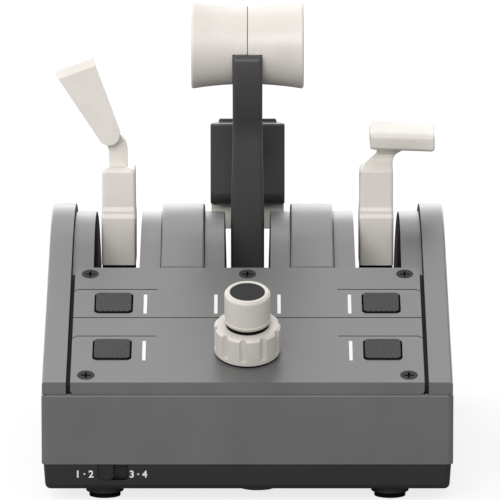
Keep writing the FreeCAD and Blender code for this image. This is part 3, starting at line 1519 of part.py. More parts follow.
make_front_panel()
make_panel_screws()
make_button_board()
make_button("button_lower_left", "-button_x", "button_row_low")
make_button("button_lower_right", "button_x", "button_row_low")
make_button("button_upper_left", "-button_x", "button_row_high")
make_button("button_upper_right", "button_x", "button_row_high")
make_encoder_body()
make_encoder_rotor()
make_knob_ring()
make_inner_knob()
make_knob_cap()
make_selector_slider()
make_switch_body()

make_pivot_shaft()
for count, (bracket_x, hand) in enumerate(bracket_places, start=1):
    make_bearing_bracket(count, bracket_x, hand)
make_bracket_screws()
make_shaft_collars()
make_lever_sensors()
make_main_board()
make_usb_socket()

make_plain_arm("speedbrake_arm", "left")
make_bush("speedbrake_bush", "left")
make_magnet("speedbrake_magnet", "left")
make_speedbrake_sleeve()
make_speedbrake_paddle()
make_thrust_arm()
make_bush("thrust_bush", "centre")
make_magnet("thrust_magnet", "centre")
for hand in (-1, 1):
    make_thrust_grip(hand)
    make_thumb_button(hand)
make_grip_bolt()
make_reverser_pin()
make_reverser_link()
make_reverser_pad()
make_reverser_pull()
make_plain_arm("flap_arm", "right")
make_bush("flap_bush", "right")
make_magnet("flap_magnet", "right")
make_flap_sleeve()
make_flap_handle()

doc.recompute()

# ---------------------------------------------------------------- checks and export
for thing in doc.Objects:
    if "Invalid" in thing.State or "Error" in thing.State:
        raise RuntimeError("%s of %s did not compute" % (thing.Name, thing.getParentGeoFeatureGroup().Name))
    if thing.TypeId in ("PartDesign::Pocket", "PartDesign::Groove") and thing.BaseFeature:
        if thing.Shape.Volume > thing.BaseFeature.Shape.Volume - 1e-3:
            raise RuntimeError("%s cuts nothing in %s" % (thing.Name, thing.getParentGeoFeatureGroup().Name))

for thing in nodes:
    shape = thing.Shape
    if shape.isNull() or not shape.isValid() or not shape.Solids:
        raise RuntimeError(thing.Label + " has no valid shape")
    shape.exportStep("parts/%s.step" % thing.Label)
print("%d nodes, %d solids" % (len(nodes), sum(len(n.Shape.Solids) for n in nodes)))
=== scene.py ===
import bpy
from math import cos, pi, radians, sin
from mathutils import Matrix, Vector
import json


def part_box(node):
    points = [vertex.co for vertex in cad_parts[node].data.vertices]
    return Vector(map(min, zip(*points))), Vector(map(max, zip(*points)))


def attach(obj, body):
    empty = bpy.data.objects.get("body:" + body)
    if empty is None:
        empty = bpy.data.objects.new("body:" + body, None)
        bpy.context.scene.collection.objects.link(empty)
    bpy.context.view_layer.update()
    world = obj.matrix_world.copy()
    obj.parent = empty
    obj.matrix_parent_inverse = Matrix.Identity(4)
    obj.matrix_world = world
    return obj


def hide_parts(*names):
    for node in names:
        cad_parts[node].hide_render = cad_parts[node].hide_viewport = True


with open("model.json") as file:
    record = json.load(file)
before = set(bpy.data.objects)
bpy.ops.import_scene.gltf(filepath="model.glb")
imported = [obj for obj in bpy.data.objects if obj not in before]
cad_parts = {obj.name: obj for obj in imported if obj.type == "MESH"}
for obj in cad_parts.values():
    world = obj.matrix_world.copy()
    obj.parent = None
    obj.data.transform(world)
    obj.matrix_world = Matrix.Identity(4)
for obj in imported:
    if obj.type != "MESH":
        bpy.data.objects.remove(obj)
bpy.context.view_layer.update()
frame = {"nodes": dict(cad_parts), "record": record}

mm = 0.001
lever_x = 60.9  # of the outer levers, in millimetres to each side of the middle
bodies = frame["record"]["behaviour"]["bodies"]
home = {node: body for body, nodes in bodies.items() for node in nodes}

# ------------------------------------------------------------------ camera
# A long lens, ten degrees above the desk and square to the front.
camera_data = bpy.data.cameras.new("camera")
camera = bpy.data.objects.new("camera", camera_data)
bpy.context.scene.collection.objects.link(camera)
bpy.context.scene.camera = camera
camera_data.sensor_width = 36
camera_data.lens = 438.9
camera_data.clip_end = 30
camera_height = radians(10)
camera_distance = 2730
aim = Vector((1.17, -120, 115.4)) * mm
camera.location = aim + Vector((0, -cos(camera_height), sin(camera_height))) * camera_distance * mm
camera.rotation_euler = (pi / 2 - camera_height, 0, 0)

# ------------------------------------------------------------------ studio
# White sweep under a soft box behind and above, one at the left, a broad fill from the front
# left and a low strip behind. The sky is a little brighter at the left.
scene = bpy.context.scene
scene.view_settings.view_transform = "Standard"


def only(piece):
    """Select this piece alone and make it active."""
    bpy.ops.object.select_all(action="DESELECT")
    piece.select_set(True)
    bpy.context.view_layer.objects.active = piece


class Field:
    """A number that varies over a surface. Arithmetic on it adds Math nodes."""

    def __init__(self, finish, socket):
        self.finish, self.socket = finish, socket

    def _math(self, operation, *values):
        return self.finish.node("ShaderNodeMath", {"operation": operation}, values)

    def __add__(self, other):
        return self._math("ADD", self, other)

    def __radd__(self, other):
        return self._math("ADD", other, self)

    def __sub__(self, other):
        return self._math("SUBTRACT", self, other)

    def __rsub__(self, other):
        return self._math("SUBTRACT", other, self)

    def __mul__(self, other):
        return self._math("MULTIPLY", self, other)

    def __rmul__(self, other):
        return self._math("MULTIPLY", other, self)

    def over(self, low, high):
        """0 below low, 1 above high, straight between."""
        return self.finish.node("ShaderNodeMapRange", {"clamp": True}, {
            "Value": self, "From Min": low, "From Max": high})


class Finish:
    """A material, or the world, and the nodes that make its look."""

    def __init__(self, name, world=False):
        self.block = (bpy.data.worlds if world else bpy.data.materials).new(name)
        self.block.use_nodes = True
        self.tree = self.block.node_tree
        self.tree.nodes.clear()
        self.end = self.tree.nodes.new(
            "ShaderNodeOutputWorld" if world else "ShaderNodeOutputMaterial")

    def node(self, kind, settings=None, inputs=None, output=0):
        """Add a node and give it its settings and inputs, which are numbers or fields."""
        made = self.tree.nodes.new(kind)
        for key, setting in (settings or {}).items():
            setattr(made, key, setting)
        pairs = inputs.items() if isinstance(inputs, dict) else enumerate(inputs or ())
        for key, given in pairs:
            if isinstance(given, Field):
                self.tree.links.new(given.socket, made.inputs[key])
            else:
                made.inputs[key].default_value = given
        return Field(self, made.outputs[output])

    def surface(self, shader):
        """End in this shader."""
        self.tree.links.new(shader.socket, self.end.inputs["Surface"])
        return self.block

    def blend(self, amount, low, high):
        """Colour from low to high by amount."""
        mix = self.tree.nodes.new("ShaderNodeMix")
        mix.data_type = "RGBA"
        for socket, given in ((mix.inputs[0], amount), (mix.inputs[6], low), (mix.inputs[7], high)):
            if isinstance(given, Field):
                self.tree.links.new(given.socket, socket)
            else:
                socket.default_value = given if not isinstance(given, tuple) else (*given, 1)[:4]
        return Field(self, mix.outputs[2])


sky_strength, sky_slope = 0.84, 0.26
floor_dark, floor_pale, floor_glow = (0.34, 0.34, 0.34), (0.92, 0.92, 0.92), 0.8
white = (1, 1, 1, 1)
sky = Finish("studio_light", world=True)
seen = sky.node("ShaderNodeLightPath", output=0)
toward = sky.node("ShaderNodeSeparateXYZ", None, (sky.node("ShaderNodeTexCoord", output=0),))
sky.surface(sky.node("ShaderNodeMixShader", None, {
    0: seen,
    1: sky.node("ShaderNodeBackground", None, {
        "Color": white, "Strength": sky_strength - sky_slope * toward}),
    2: sky.node("ShaderNodeBackground", None, {"Color": white, "Strength": 1.0})}))
scene.world = sky.block

bpy.ops.mesh.primitive_circle_add(vertices=96, radius=6, fill_type="NGON", location=(0, 0, 0))
sweep = bpy.context.object
sweep.name = "studio_floor"
paper = Finish("sweep_paper")
seen = paper.node("ShaderNodeLightPath", output=0)
tone = paper.blend(seen, floor_dark, floor_pale)
lit = paper.node("ShaderNodeBsdfDiffuse", None, {"Color": tone})
glow = paper.node("ShaderNodeEmission", None, {"Color": white, "Strength": 1.0})
sweep.data.materials.append(paper.surface(paper.node("ShaderNodeMixShader", None, {
    0: seen * floor_glow, 1: lit, 2: glow})))


def lamp(name, place, target, width, height, power):
    """A soft box at a place, facing a target."""
    data = bpy.data.lights.new(name, "AREA")
    data.shape = "RECTANGLE"
    data.size, data.size_y, data.energy = width, height, power
    box = bpy.data.objects.new(name, data)
    box.location = place
    box.rotation_euler = (Vector(target) - Vector(place)).to_track_quat("-Z", "Y").to_euler()
    scene.collection.objects.link(box)


lamp("back_soft_box", (-0.25, 1.15, 1.5), (0, 0, 0.05), 1.5, 1.1, 7.8)
lamp("side_soft_box", (-1.7, 0.1, 0.9), (0, 0, 0.1), 1.0, 1.0, 5)
lamp("front_fill", (-0.5, -2.3, 1.3), (0, 0, 0.12), 1.6, 1.0, 32)
lamp("back_strip", (0.0, 1.7, 0.42), (0, 0, 0.1), 3.0, 0.5, 15)

# ------------------------------------------------------------------ base pan and feet
# Black moulded tray on four bosses with rubber feet. A brass insert for a desk clamp sits in a
# boss under the front edge, and four long screws hold the tray to the housing.


def moulded(name, colour, roughness, grain=1.0, worn=0.0, sheen=0.5):
    """Spark-textured plastic: faint mottling, a fine grain and slightly uneven gloss."""
    finish = Finish(name)
    place = finish.node("ShaderNodeTexCoord", output=3)
    cloud = finish.node("ShaderNodeTexNoise", None, {"Vector": place, "Scale": 35, "Detail": 3})
    speck = finish.node("ShaderNodeTexNoise", None, {"Vector": place, "Scale": 1900, "Detail": 2})
    shade = cloud * 0.6 + speck * 0.4
    dark = tuple(c * (1 - 0.10 - worn) for c in colour)
    pale = tuple(min(c * (1 + 0.10 + worn), 1) for c in colour)
    relief = finish.node("ShaderNodeBump", None, {
        "Strength": 0.16 * grain, "Distance": 0.0001, "Height": speck})
    return finish.surface(finish.node("ShaderNodeBsdfPrincipled", None, {
        "Base Color": finish.blend(shade.over(0.3, 0.7), dark, pale),
        "Roughness": roughness - 0.05 + 0.10 * cloud, "Normal": relief,
        "Specular IOR Level": sheen}))


def metal(name, colour, roughness, brushed=0.0):
    """Bare metal with a faint turned or drawn grain."""
    finish = Finish(name)
    place = finish.node("ShaderNodeTexCoord", output=3)
    spread = finish.node("ShaderNodeMapping", None, {"Vector": place, "Scale": (0.05, 1, 1)})
    lines = finish.node("ShaderNodeTexNoise", None, {"Vector": spread, "Scale": 2600, "Detail": 2})
    dark = tuple(c * 0.86 for c in colour)
    return finish.surface(finish.node("ShaderNodeBsdfPrincipled", None, {
        "Base Color": finish.blend(lines, dark, colour), "Metallic": 1.0,
        "Roughness": roughness + brushed * (lines - 0.5)}))


def dress(node, finish):
    """Give a CAD node its finish."""
    made = frame["nodes"][node]
    made.data.materials.clear()
    made.data.materials.append(finish)


def choose_edges(piece, test):
    """Select the edges whose two faces and middle point pass the test."""
    mesh = piece.data
    sides = {}
    for face in mesh.polygons:
        for key in face.edge_keys:
            sides.setdefault(key, []).append(face.normal)
    for edge in mesh.edges:
        faces = sides.get(edge.key, [])
        middle = (mesh.vertices[edge.vertices[0]].co + mesh.vertices[edge.vertices[1]].co) / 2
        edge.select = (len(faces) == 2 and faces[0].angle(faces[1]) > radians(25)
                       and test(*faces, middle / mm))


def round_edges(piece, test, width, steps):
    """Round the chosen edges of a piece by themselves."""
    only(piece)
    bpy.ops.object.mode_set(mode="EDIT")
    bpy.ops.mesh.select_mode(type="EDGE")
    bpy.ops.mesh.select_all(action="DESELECT")
    bpy.ops.object.mode_set(mode="OBJECT")
    choose_edges(piece, test)
    bpy.ops.object.mode_set(mode="EDIT")
    bpy.ops.mesh.bevel(offset=width * mm, segments=steps, affect="EDGES", clamp_overlap=False)
    bpy.ops.object.mode_set(mode="OBJECT")


def finish_edges(piece, width, finish, steps=3, sharp=35):
    """Round every sharp edge a little, shade the faces and give the piece its finish."""
    only(piece)
    edge = piece.modifiers.new("edge", "BEVEL")
    edge.width, edge.segments = width * mm, steps
    edge.limit_method, edge.angle_limit = "ANGLE", radians(sharp)
    bpy.ops.object.modifier_apply(modifier="edge")
    bpy.ops.object.shade_smooth_by_angle(angle=radians(sharp))
    level = piece.modifiers.new("level", "WEIGHTED_NORMAL")
    level.keep_sharp = True
    bpy.ops.object.modifier_apply(modifier="level")
    piece.data.materials.clear()
    piece.data.materials.append(finish)


def merged(node):
    """A copy of a CAD node with its triangles merged into whole faces."""
    piece = bpy.data.objects.new(node + "_piece", frame["nodes"][node].data.copy())
    scene.collection.objects.link(piece)
    only(piece)
    bpy.ops.object.mode_set(mode="EDIT")
    bpy.ops.mesh.select_all(action="SELECT")
    bpy.ops.mesh.remove_doubles(threshold=0.000002)
    bpy.ops.mesh.dissolve_limited(angle_limit=radians(0.3))
    bpy.ops.object.mode_set(mode="OBJECT")
    return piece


def stand_in(piece, node):
    """Let a piece take the place of a CAD node, on the same body."""
    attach(piece, home[node])
    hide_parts(node)
    return piece


def soften(node, width, finish, steps=3, sharp=35):
    """Take the place of a CAD node with a copy that has its sharp edges rounded."""
    piece = merged(node)
    finish_edges(piece, width, finish, steps, sharp)
    return stand_in(piece, node)


def pull(piece, test, shift=(0, 0, 0), size=(1, 1, 1), centre=(0, 0, 0)):
    """Move or scale the points of a piece that pass the test."""
    only(piece)
    bpy.ops.object.mode_set(mode="EDIT")
    bpy.ops.mesh.select_mode(type="VERT")
    bpy.ops.mesh.select_all(action="DESELECT")
    bpy.ops.object.mode_set(mode="OBJECT")
    for point in piece.data.vertices:
        point.select = test(point.co / mm)
    bpy.ops.object.mode_set(mode="EDIT")
    bpy.ops.transform.translate(value=Vector(shift) * mm)
    bpy.ops.transform.resize(value=size, center_override=Vector(centre) * mm)
    bpy.ops.mesh.select_all(action="SELECT")
    bpy.ops.mesh.remove_doubles(threshold=0.00002)
    bpy.ops.object.mode_set(mode="OBJECT")


def paint_shade(piece, finish, test):
    """Give the faces that pass the test a second, darker finish: painted shade."""
    piece.data.materials.append(finish)
    for face in piece.data.polygons:
        if test(face.normal, face.center / mm):
            face.material_index = len(piece.data.materials) - 1


# Near-black and deep grey finishes for painted shade in gaps, recesses, slots and joints.
shade_black = moulded("shade_black", (0.004, 0.004, 0.004), 0.8, grain=0.2, sheen=0.05)
shade_grey = moulded("shade_grey", (0.022, 0.022, 0.022), 0.6, grain=0.6, sheen=0.1)
pan_black = moulded("pan_black", (0.0135, 0.0135, 0.0142), 0.42, grain=1.6)
foot_rubber = moulded("foot_rubber", (0.004, 0.004, 0.004), 0.9, grain=1.2, sheen=0.05)
screw_black = moulded("screw_black", (0.020, 0.020, 0.021), 0.5, grain=0.8, sheen=0.15)
insert_brass = metal("insert_brass", (0.72, 0.55, 0.28), 0.3, 0.1)
pan = soften("base_pan", 0.35, pan_black)
window_x, window_half, window_low = -60.5, 7.6, 9
# Painted shade: the faces in the selector window are made near-black.
paint_shade(pan, shade_black, lambda n, c: n.y > -0.9 and abs(c.x - window_x) < window_half
       and c.z > window_low and -119 < c.y < -110)
soften("rubber_feet", 0.15, foot_rubber, steps=2)
dress("clamp_insert", insert_brass)
dress("base_screws", screw_black)

# ------------------------------------------------------------------ engine selector
# Ribbed thumb slide in a window of the pan, with the two pairs of engine numbers beside it.
slide_black = moulded("slide_black", (0.009, 0.009, 0.009), 0.38, grain=0.6)
soften("selector_slider", 0.12, slide_black, steps=2)
dress("switch_body", slide_black)
white_print = moulded("white_print", (0.74, 0.74, 0.73), 0.5, grain=0.3)
wall_front, wall_top, wall_lean = -119.22, 17.2, radians(4)
numbers_height = 12.4
size_of_figure = 1.38  # size that the font needs for figures one unit high


def print_numbers(name, words, x, height):
    """Pad-printed figures on the front wall of the pan, which leans in downwards."""
    curve = bpy.data.curves.new(name, "FONT")
    curve.body = words
    curve.size = height * size_of_figure * mm
    curve.align_x, curve.align_y = "CENTER", "CENTER"
    curve.extrude = 0.03 * mm
    curve.offset = 0.12 * mm
    piece = bpy.data.objects.new(name, curve)
    scene.collection.objects.link(piece)
    setback = (wall_top - numbers_height) * sin(wall_lean) / cos(wall_lean)
    piece.location = Vector((x, wall_front + setback, numbers_height)) * mm
    piece.rotation_euler = (pi / 2 + wall_lean, 0, 0)
    only(piece)
    bpy.ops.object.convert(target="MESH")
    piece = bpy.context.object
    bpy.ops.object.transform_apply(location=True, rotation=True, scale=True)
    piece.data.materials.append(white_print)
    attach(piece, "housing")


print_numbers("engine_numbers_left", "1 · 2", -73.5, 3.3)
print_numbers("engine_numbers_right", "3 · 4", -49.2, 3.2)

# ------------------------------------------------------------------ housing
# Mouldings of the same dark grey plastic: a low frame with a bevelled top edge, and over it
# side rails, hump covers and lever channels that meet in fine joints. Shade is painted on their
# slots and on the inner faces of the rails.
shell_grey = moulded("shell_grey", (0.098, 0.098, 0.098), 0.38, sheen=0.8)
soften("lower_housing", 0.3, shell_grey)
rail_face, panel_end = 81.75, -25
slot_half, slot_shade = 11.3, 70
for side in ("left", "right"):
    rail = soften("side_rail_" + side, 0.7, shell_grey)
    # Painted shade: the inner side faces of the rails and the faces beside the panel are made deep
    # grey.
    paint_shade(rail, shade_grey, lambda n, c: abs(c.x) < rail_face
           and (abs(n.x) > 0.9 or c.y < panel_end))
    soften("middle_cover_" + side, 0.9, shell_grey)
for channel, middle in (("left", -lever_x), ("centre", 0), ("right", lever_x)):
    shoulders = soften("lever_channel_" + channel, 0.9, shell_grey)
    # Painted shade: the slot walls and the low faces of each slot are made near-black.
    paint_shade(shoulders, shade_black, lambda n, c: abs(c.x - middle) < slot_half
           and (abs(n.x) > 0.9 or c.z < slot_shade))

# ------------------------------------------------------------------ control panel
# Sloping cover plate with a folded lip, held by five black cross-head screws. Thin grooves run
# to its edges, and white bars are printed beside the keys.
slope = radians(20.5)
panel = Matrix.Translation(Vector((0, -119.4, 54.8)) * mm) @ Matrix.Rotation(slope, 4, "X")
to_panel = panel.inverted()


def depth_of(c):
    """Height of a point, in millimetres, over the face of the panel."""
    return (to_panel @ (c * mm)).z / mm


lip_back, plate_under, plate_over = -118.4, -3.3, -0.2
plate = soften("front_panel", 0.22, shell_grey, steps=2)
# Painted shade: the walls of the grooves and openings below the panel face are made near-black.
paint_shade(plate, shade_black, lambda n, c: c.y > lip_back and plate_under < depth_of(c) < plate_over)
heads = soften("panel_screws", 0.12, screw_black, steps=2)
# Painted shade: the cross recess and the sunk sides of each head are made near-black.
paint_shade(heads, shade_black, lambda n, c: depth_of(c) < -0.1)

bar_width, bar_length, bar_rise = 1.55, 16.8, 0.05
upper_row, lower_row, beside_key, beside_knob = 68.4, 27.4, 46.9, 14.5
bars = [(-beside_key, upper_row), (beside_key, upper_row), (-beside_knob, upper_row),
        (beside_knob, upper_row), (-beside_key, lower_row), (beside_key, lower_row)]
strips = []
for x, along in bars:
    bpy.ops.object.select_all(action="DESELECT")
    bpy.ops.mesh.primitive_plane_add(size=1)
    strip = bpy.context.object
    strip.scale = (bar_width * mm, bar_length * mm, 1)
    strip.location = Vector((x, along, 0)) * mm
    bpy.ops.object.transform_apply(location=True, rotation=True, scale=True)
    bpy.ops.object.mode_set(mode="EDIT")
    bpy.ops.mesh.select_all(action="SELECT")
    bpy.ops.mesh.bevel(offset=0.12 * mm, segments=3, affect="VERTICES")
    bpy.ops.mesh.select_all(action="SELECT")
    bpy.ops.mesh.extrude_region_move(TRANSFORM_OT_translate={"value": (0, 0, bar_rise * mm)})
    bpy.ops.mesh.select_all(action="SELECT")
    bpy.ops.mesh.normals_make_consistent(inside=False)
    bpy.ops.object.mode_set(mode="OBJECT")
    strips.append(strip)
bpy.ops.object.select_all(action="DESELECT")
for strip in strips:
    strip.select_set(True)
bpy.context.view_layer.objects.active = strips[0]
bpy.ops.object.join()
marks = bpy.context.object
marks.name = "panel_bars"
marks.matrix_world = panel
only(marks)
bpy.ops.object.transform_apply(location=True, rotation=True, scale=True)
marks.data.materials.append(white_print)
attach(marks, "housing")

# ------------------------------------------------------------------ keys
# Four square dark keys with a fine slanting hatch on their caps, in close openings.


def hatched(name, colour):
    """Dark key plastic, its upper face hatched in two slanting directions."""
    finish = Finish(name)
    place = finish.node("ShaderNodeTexCoord", output=3)
    speck = finish.node("ShaderNodeTexNoise", None, {"Vector": place, "Scale": 1500, "Detail": 2})
    waves = []
    for turn in (0.9, -0.9):
        tilted = finish.node("ShaderNodeMapping", None, {"Vector": place, "Rotation": (0, 0, turn)})
        waves.append(finish.node("ShaderNodeTexWave", None, {"Vector": tilted, "Scale": 210},
                                 output=1))
    weave = waves[0] * waves[1]
    relief = finish.node("ShaderNodeBump", None, {
        "Strength": 0.8, "Distance": 0.0003, "Height": weave})
    tone = finish.blend(weave.over(0.05, 0.5) * 0.8 + speck * 0.2,
                        tuple(c * 0.45 for c in colour), tuple(c * 1.5 for c in colour))
    return finish.surface(finish.node("ShaderNodeBsdfPrincipled", None, {
        "Base Color": tone, "Roughness": 0.5 + 0.1 * speck, "Normal": relief,
        "Specular IOR Level": 0.3}))


key_dark = hatched("key_dark", (0.042, 0.042, 0.043))
key_share = 0.966  # of the width that the key fills, so that its gap shows
key_top = 0.35
for row in ("lower", "upper"):
    for side in ("left", "right"):
        node = "button_%s_%s" % (row, side)
        key = merged(node)
        low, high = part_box(node)
        pull(key, lambda c: True, size=(key_share, key_share, 1),
             centre=(Vector(low) + Vector(high)) / 2 / mm)
        finish_edges(key, 0.2, key_dark, steps=2)
        stand_in(key, node)
        # Painted shade: the sides of each key are made near-black.
        paint_shade(key, shade_black, lambda n, c: (to_panel.to_3x3() @ n).z < key_top)

# ------------------------------------------------------------------ dual knob
# Pale fluted ring round a finely ribbed inner knob with a bevelled rim and a dark cap. Both turn
# about the same axis, square to the panel, and stand over thin near-black discs of painted shade.
# Painted shade: the knob's white is a darker copy of the levers' warm white, for the shade it
# stands in.
shaded_knob_white = moulded("shaded_knob_white", (0.58, 0.552, 0.508), 0.4, grain=0.5)
cap_dark = moulded("cap_dark", (0.022, 0.022, 0.023), 0.55, grain=0.6, sheen=0.1)
soften("knob_ring", 0.45, shaded_knob_white, sharp=30)
soften("knob_cap", 0.2, cap_dark)
knob_axis = panel @ Matrix.Translation(Vector((0, 26.7, 0)) * mm)


def turned(name, rings, sides):
    """A round piece on the knob's axis, drawn upward through rings of radius and height."""
    bpy.ops.object.select_all(action="DESELECT")
    radius, height = rings[0]
    bpy.ops.mesh.primitive_circle_add(vertices=sides, radius=radius * mm, fill_type="NGON",
                                      location=(0, 0, height * mm))
    piece = bpy.context.object
    piece.name = name
    bpy.ops.object.transform_apply(location=True, rotation=True, scale=True)
    bpy.ops.object.mode_set(mode="EDIT")
    bpy.ops.mesh.select_all(action="SELECT")
    for (r0, h0), (r1, h1) in zip(rings, rings[1:]):
        bpy.ops.mesh.extrude_region_move(TRANSFORM_OT_translate={"value": (0, 0, (h1 - h0) * mm)})
        bpy.ops.transform.resize(value=(r1 / r0, r1 / r0, 1), center_override=(0, 0, h1 * mm))
    bpy.ops.mesh.select_all(action="SELECT")
    bpy.ops.mesh.normals_make_consistent(inside=False)
    bpy.ops.object.mode_set(mode="OBJECT")
    return piece


def seat(piece):
    """Move a piece drawn about the upright axis onto the knob's axis."""
    piece.matrix_world = knob_axis
    only(piece)
    bpy.ops.object.transform_apply(location=True, rotation=True, scale=True)


rib_low, rib_high, rib_count, rib_rise = 18.6, 29.9, 60, 0.25
knob = turned("inner_knob_piece", [
    (6.0, 15.9), (9.2, 15.9), (10.4, 17.0), (10.4, 18.0), (10.15, 18.2), (10.15, rib_low),
    (10.15, rib_high), (10.15, 30.4), (9.85, 30.9), (9.45, 30.95), (9.35, 31.4), (8.3, 31.5),
    (8.05, 31.25), (8.0, 30.7)], 2 * rib_count)
for face in knob.data.polygons:
    around = face.center.xy.angle_signed(Vector((1, 0)), 0) / (2 * pi) % 1
    face.select = (rib_low * mm < face.center.z < rib_high * mm and abs(face.normal.z) < 0.1
                   and int(around * 2 * rib_count + 0.01) % 2 == 0)
only(knob)
bpy.ops.object.mode_set(mode="EDIT")
bpy.ops.mesh.select_mode(type="FACE")
bpy.ops.mesh.extrude_region_shrink_fatten(TRANSFORM_OT_shrink_fatten={"value": rib_rise * mm})
bpy.ops.object.mode_set(mode="OBJECT")
# Painted shade: the faces between the ribs get a darker copy of the knob's white.
groove_shade_white = moulded("groove_shade_white", (0.30, 0.285, 0.262), 0.5, grain=0.5)
finish_edges(knob, 0.05, shaded_knob_white, steps=1, sharp=50)
paint_shade(knob, groove_shade_white, lambda n, c: rib_low < c.z < rib_high and c.xy.length < 10.2)
seat(knob)
stand_in(knob, "inner_knob")
round_sides = 96
web = turned("knob_ring_web", [(11.4, 13.3), (11.4, 14.28), (11.3, 14.36), (6.5, 14.36)],
             round_sides)
seat(web)
finish_edges(web, 0.05, shaded_knob_white, steps=1)
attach(web, home["knob_ring"])
# Painted shade: near-black discs in the gaps under the inner knob and under the ring.
for name, radius, low, high in (("knob_gap_shade", 9.7, 14.3, 15.95),
                                ("ring_gap_shade", 14.4, 0.02, 0.9)):
    gap_shade = turned(name, [(radius, low), (radius, high)], round_sides)
    seat(gap_shade)
    finish_edges(gap_shade, 0.05, shade_black, steps=1)
    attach(gap_shade, home["knob_ring"])

# ------------------------------------------------------------------ speed-brake lever
# Pale moulded sleeve over the arm, deeper below a double step, and a flat blade on a bent neck.
# A black collar on the arm carries the sleeve.
warm_white = moulded("warm_white", (0.69, 0.655, 0.605), 0.38, grain=0.5)
lever_black = moulded("lever_black", (0.046, 0.046, 0.046), 0.42, grain=1.2)


def stacked(name, rings, corner):
    """A moulding drawn upward through level outlines: height, left, right, front and back."""
    bpy.ops.object.select_all(action="DESELECT")
    bpy.ops.mesh.primitive_plane_add(size=1, location=(0, 0, 0))
    piece = bpy.context.object
    piece.name = name
    low, left, right, front, back = rings[0]
    piece.scale = ((right - left) * mm, (back - front) * mm, 1)
    piece.location = Vector(((left + right) / 2, (front + back) / 2, low)) * mm
    bpy.ops.object.transform_apply(location=True, rotation=True, scale=True)
    bpy.ops.object.mode_set(mode="EDIT")
    bpy.ops.mesh.select_all(action="SELECT")
    bpy.ops.mesh.bevel(offset=corner * mm, segments=5, affect="VERTICES")
    bpy.ops.mesh.select_all(action="SELECT")
    for old, new in zip(rings, rings[1:]):
        was = Vector(((old[1] + old[2]) / 2, (old[3] + old[4]) / 2, old[0]))
        now = Vector(((new[1] + new[2]) / 2, (new[3] + new[4]) / 2, new[0]))
        bpy.ops.mesh.extrude_region_move(TRANSFORM_OT_translate={"value": (now - was) * mm})
        bpy.ops.transform.resize(value=((new[2] - new[1]) / (old[2] - old[1]),
                                        (new[4] - new[3]) / (old[4] - old[3]), 1),
                                 center_override=now * mm)
    bpy.ops.mesh.select_all(action="SELECT")
    bpy.ops.mesh.normals_make_consistent(inside=False)
    bpy.ops.object.mode_set(mode="OBJECT")
    return piece


def sleeve_foot(middle):
    """Outlines of a sleeve from its foot to above the double step."""
    rows = ((81.3, 8.1, 31.3, 54.7), (104, 8.15, 31, 55), (105.6, 8.05, 32.1, 53.9),
            (107.2, 8, 32.1, 53.9), (108.8, 7.9, 33, 53))
    return [(height, middle - half, middle + half, front, back)
            for height, half, front, back in rows]


def collar(name, middle, body):
    """Black collar on the arm, just inside the foot of the sleeve. Its near-black finish is also
    painted shade in the slot.
    """
    half = 7.8
    band = stacked(name, [(72, middle - half, middle + half, 32, 54),
                          (83, middle - half, middle + half, 32, 54)], 1.5)
    finish_edges(band, 0.3, shade_black)
    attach(band, body)


sleeve_corner, sleeve_edge, sleeve_sharp = 1.6, 0.35, 24
sleeve = stacked("speedbrake_sleeve_piece", sleeve_foot(-lever_x) + [
    (125.2, -68.75, -53.05, 33, 53), (126.6, -68.2, -53.6, 33.6, 52.4),
    (127.5, -67, -54.8, 35, 51)], sleeve_corner)
finish_edges(sleeve, sleeve_edge, warm_white, sharp=sleeve_sharp)
stand_in(sleeve, "speedbrake_sleeve")
collar("speedbrake_collar", -lever_x, home["speedbrake_sleeve"])
soften("speedbrake_paddle", 1.1, warm_white, steps=4)
dress("speedbrake_arm", lever_black)

# ------------------------------------------------------------------ thrust lever
# Black arm, narrower above its knee, that cradles a waisted grip of two pale halves. A near-black
# disc paints the shade in the joint between the halves, and a pale thumb button lies flush in each
# end.
arm = merged("thrust_arm")
knee_share = 0.892  # of the lower width, which the arm keeps above the knee
sleeve_end, arm_front, head_low = 80, 40, 150
pull(arm, lambda c: abs(c.x) > 7.4 and 138 < c.z < 142, size=(knee_share, 1, 1))
round_edges(arm, lambda a, b, m: max(abs(a.x), abs(b.x)) > 0.9 and m.z > sleeve_end
            and m.y < arm_front and (min(a.y, b.y) < -0.3 or m.z > head_low), 1.9, 5)
finish_edges(arm, 0.25, lever_black)
stand_in(arm, "thrust_arm")
grip_centre = Vector((0, 43, 185))
for side, sign in (("left", -1), ("right", 1)):
    soften("thrust_grip_" + side, 0.2, warm_white)
    bpy.ops.object.select_all(action="DESELECT")
    bpy.ops.mesh.primitive_cylinder_add(
        vertices=72, radius=7.4 * mm, depth=4.8 * mm, rotation=(0, pi / 2, 0),
        location=(grip_centre + Vector((sign * 24, 0, 0))) * mm)
    thumb = bpy.context.object
    thumb.name = "thumb_button_%s_piece" % side
    bpy.ops.object.transform_apply(location=True, rotation=True, scale=True)
    finish_edges(thumb, 0.6, warm_white, steps=4)
    stand_in(thumb, "thumb_button_" + side)
bpy.ops.object.select_all(action="DESELECT")
# Painted shade: a near-black disc in the joint between the grip halves.
joint_shade_radius, joint_shade_thickness = 18.3, 0.26
bpy.ops.mesh.primitive_cylinder_add(
    vertices=round_sides, radius=joint_shade_radius * mm, depth=joint_shade_thickness * mm,
    rotation=(0, pi / 2, 0), location=grip_centre * mm)
joint_shade = bpy.context.object
joint_shade.name = "grip_joint_shade"
bpy.ops.object.transform_apply(location=True, rotation=True, scale=True)
finish_edges(joint_shade, 0.05, shade_black, steps=1)
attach(joint_shade, home["thrust_arm"])

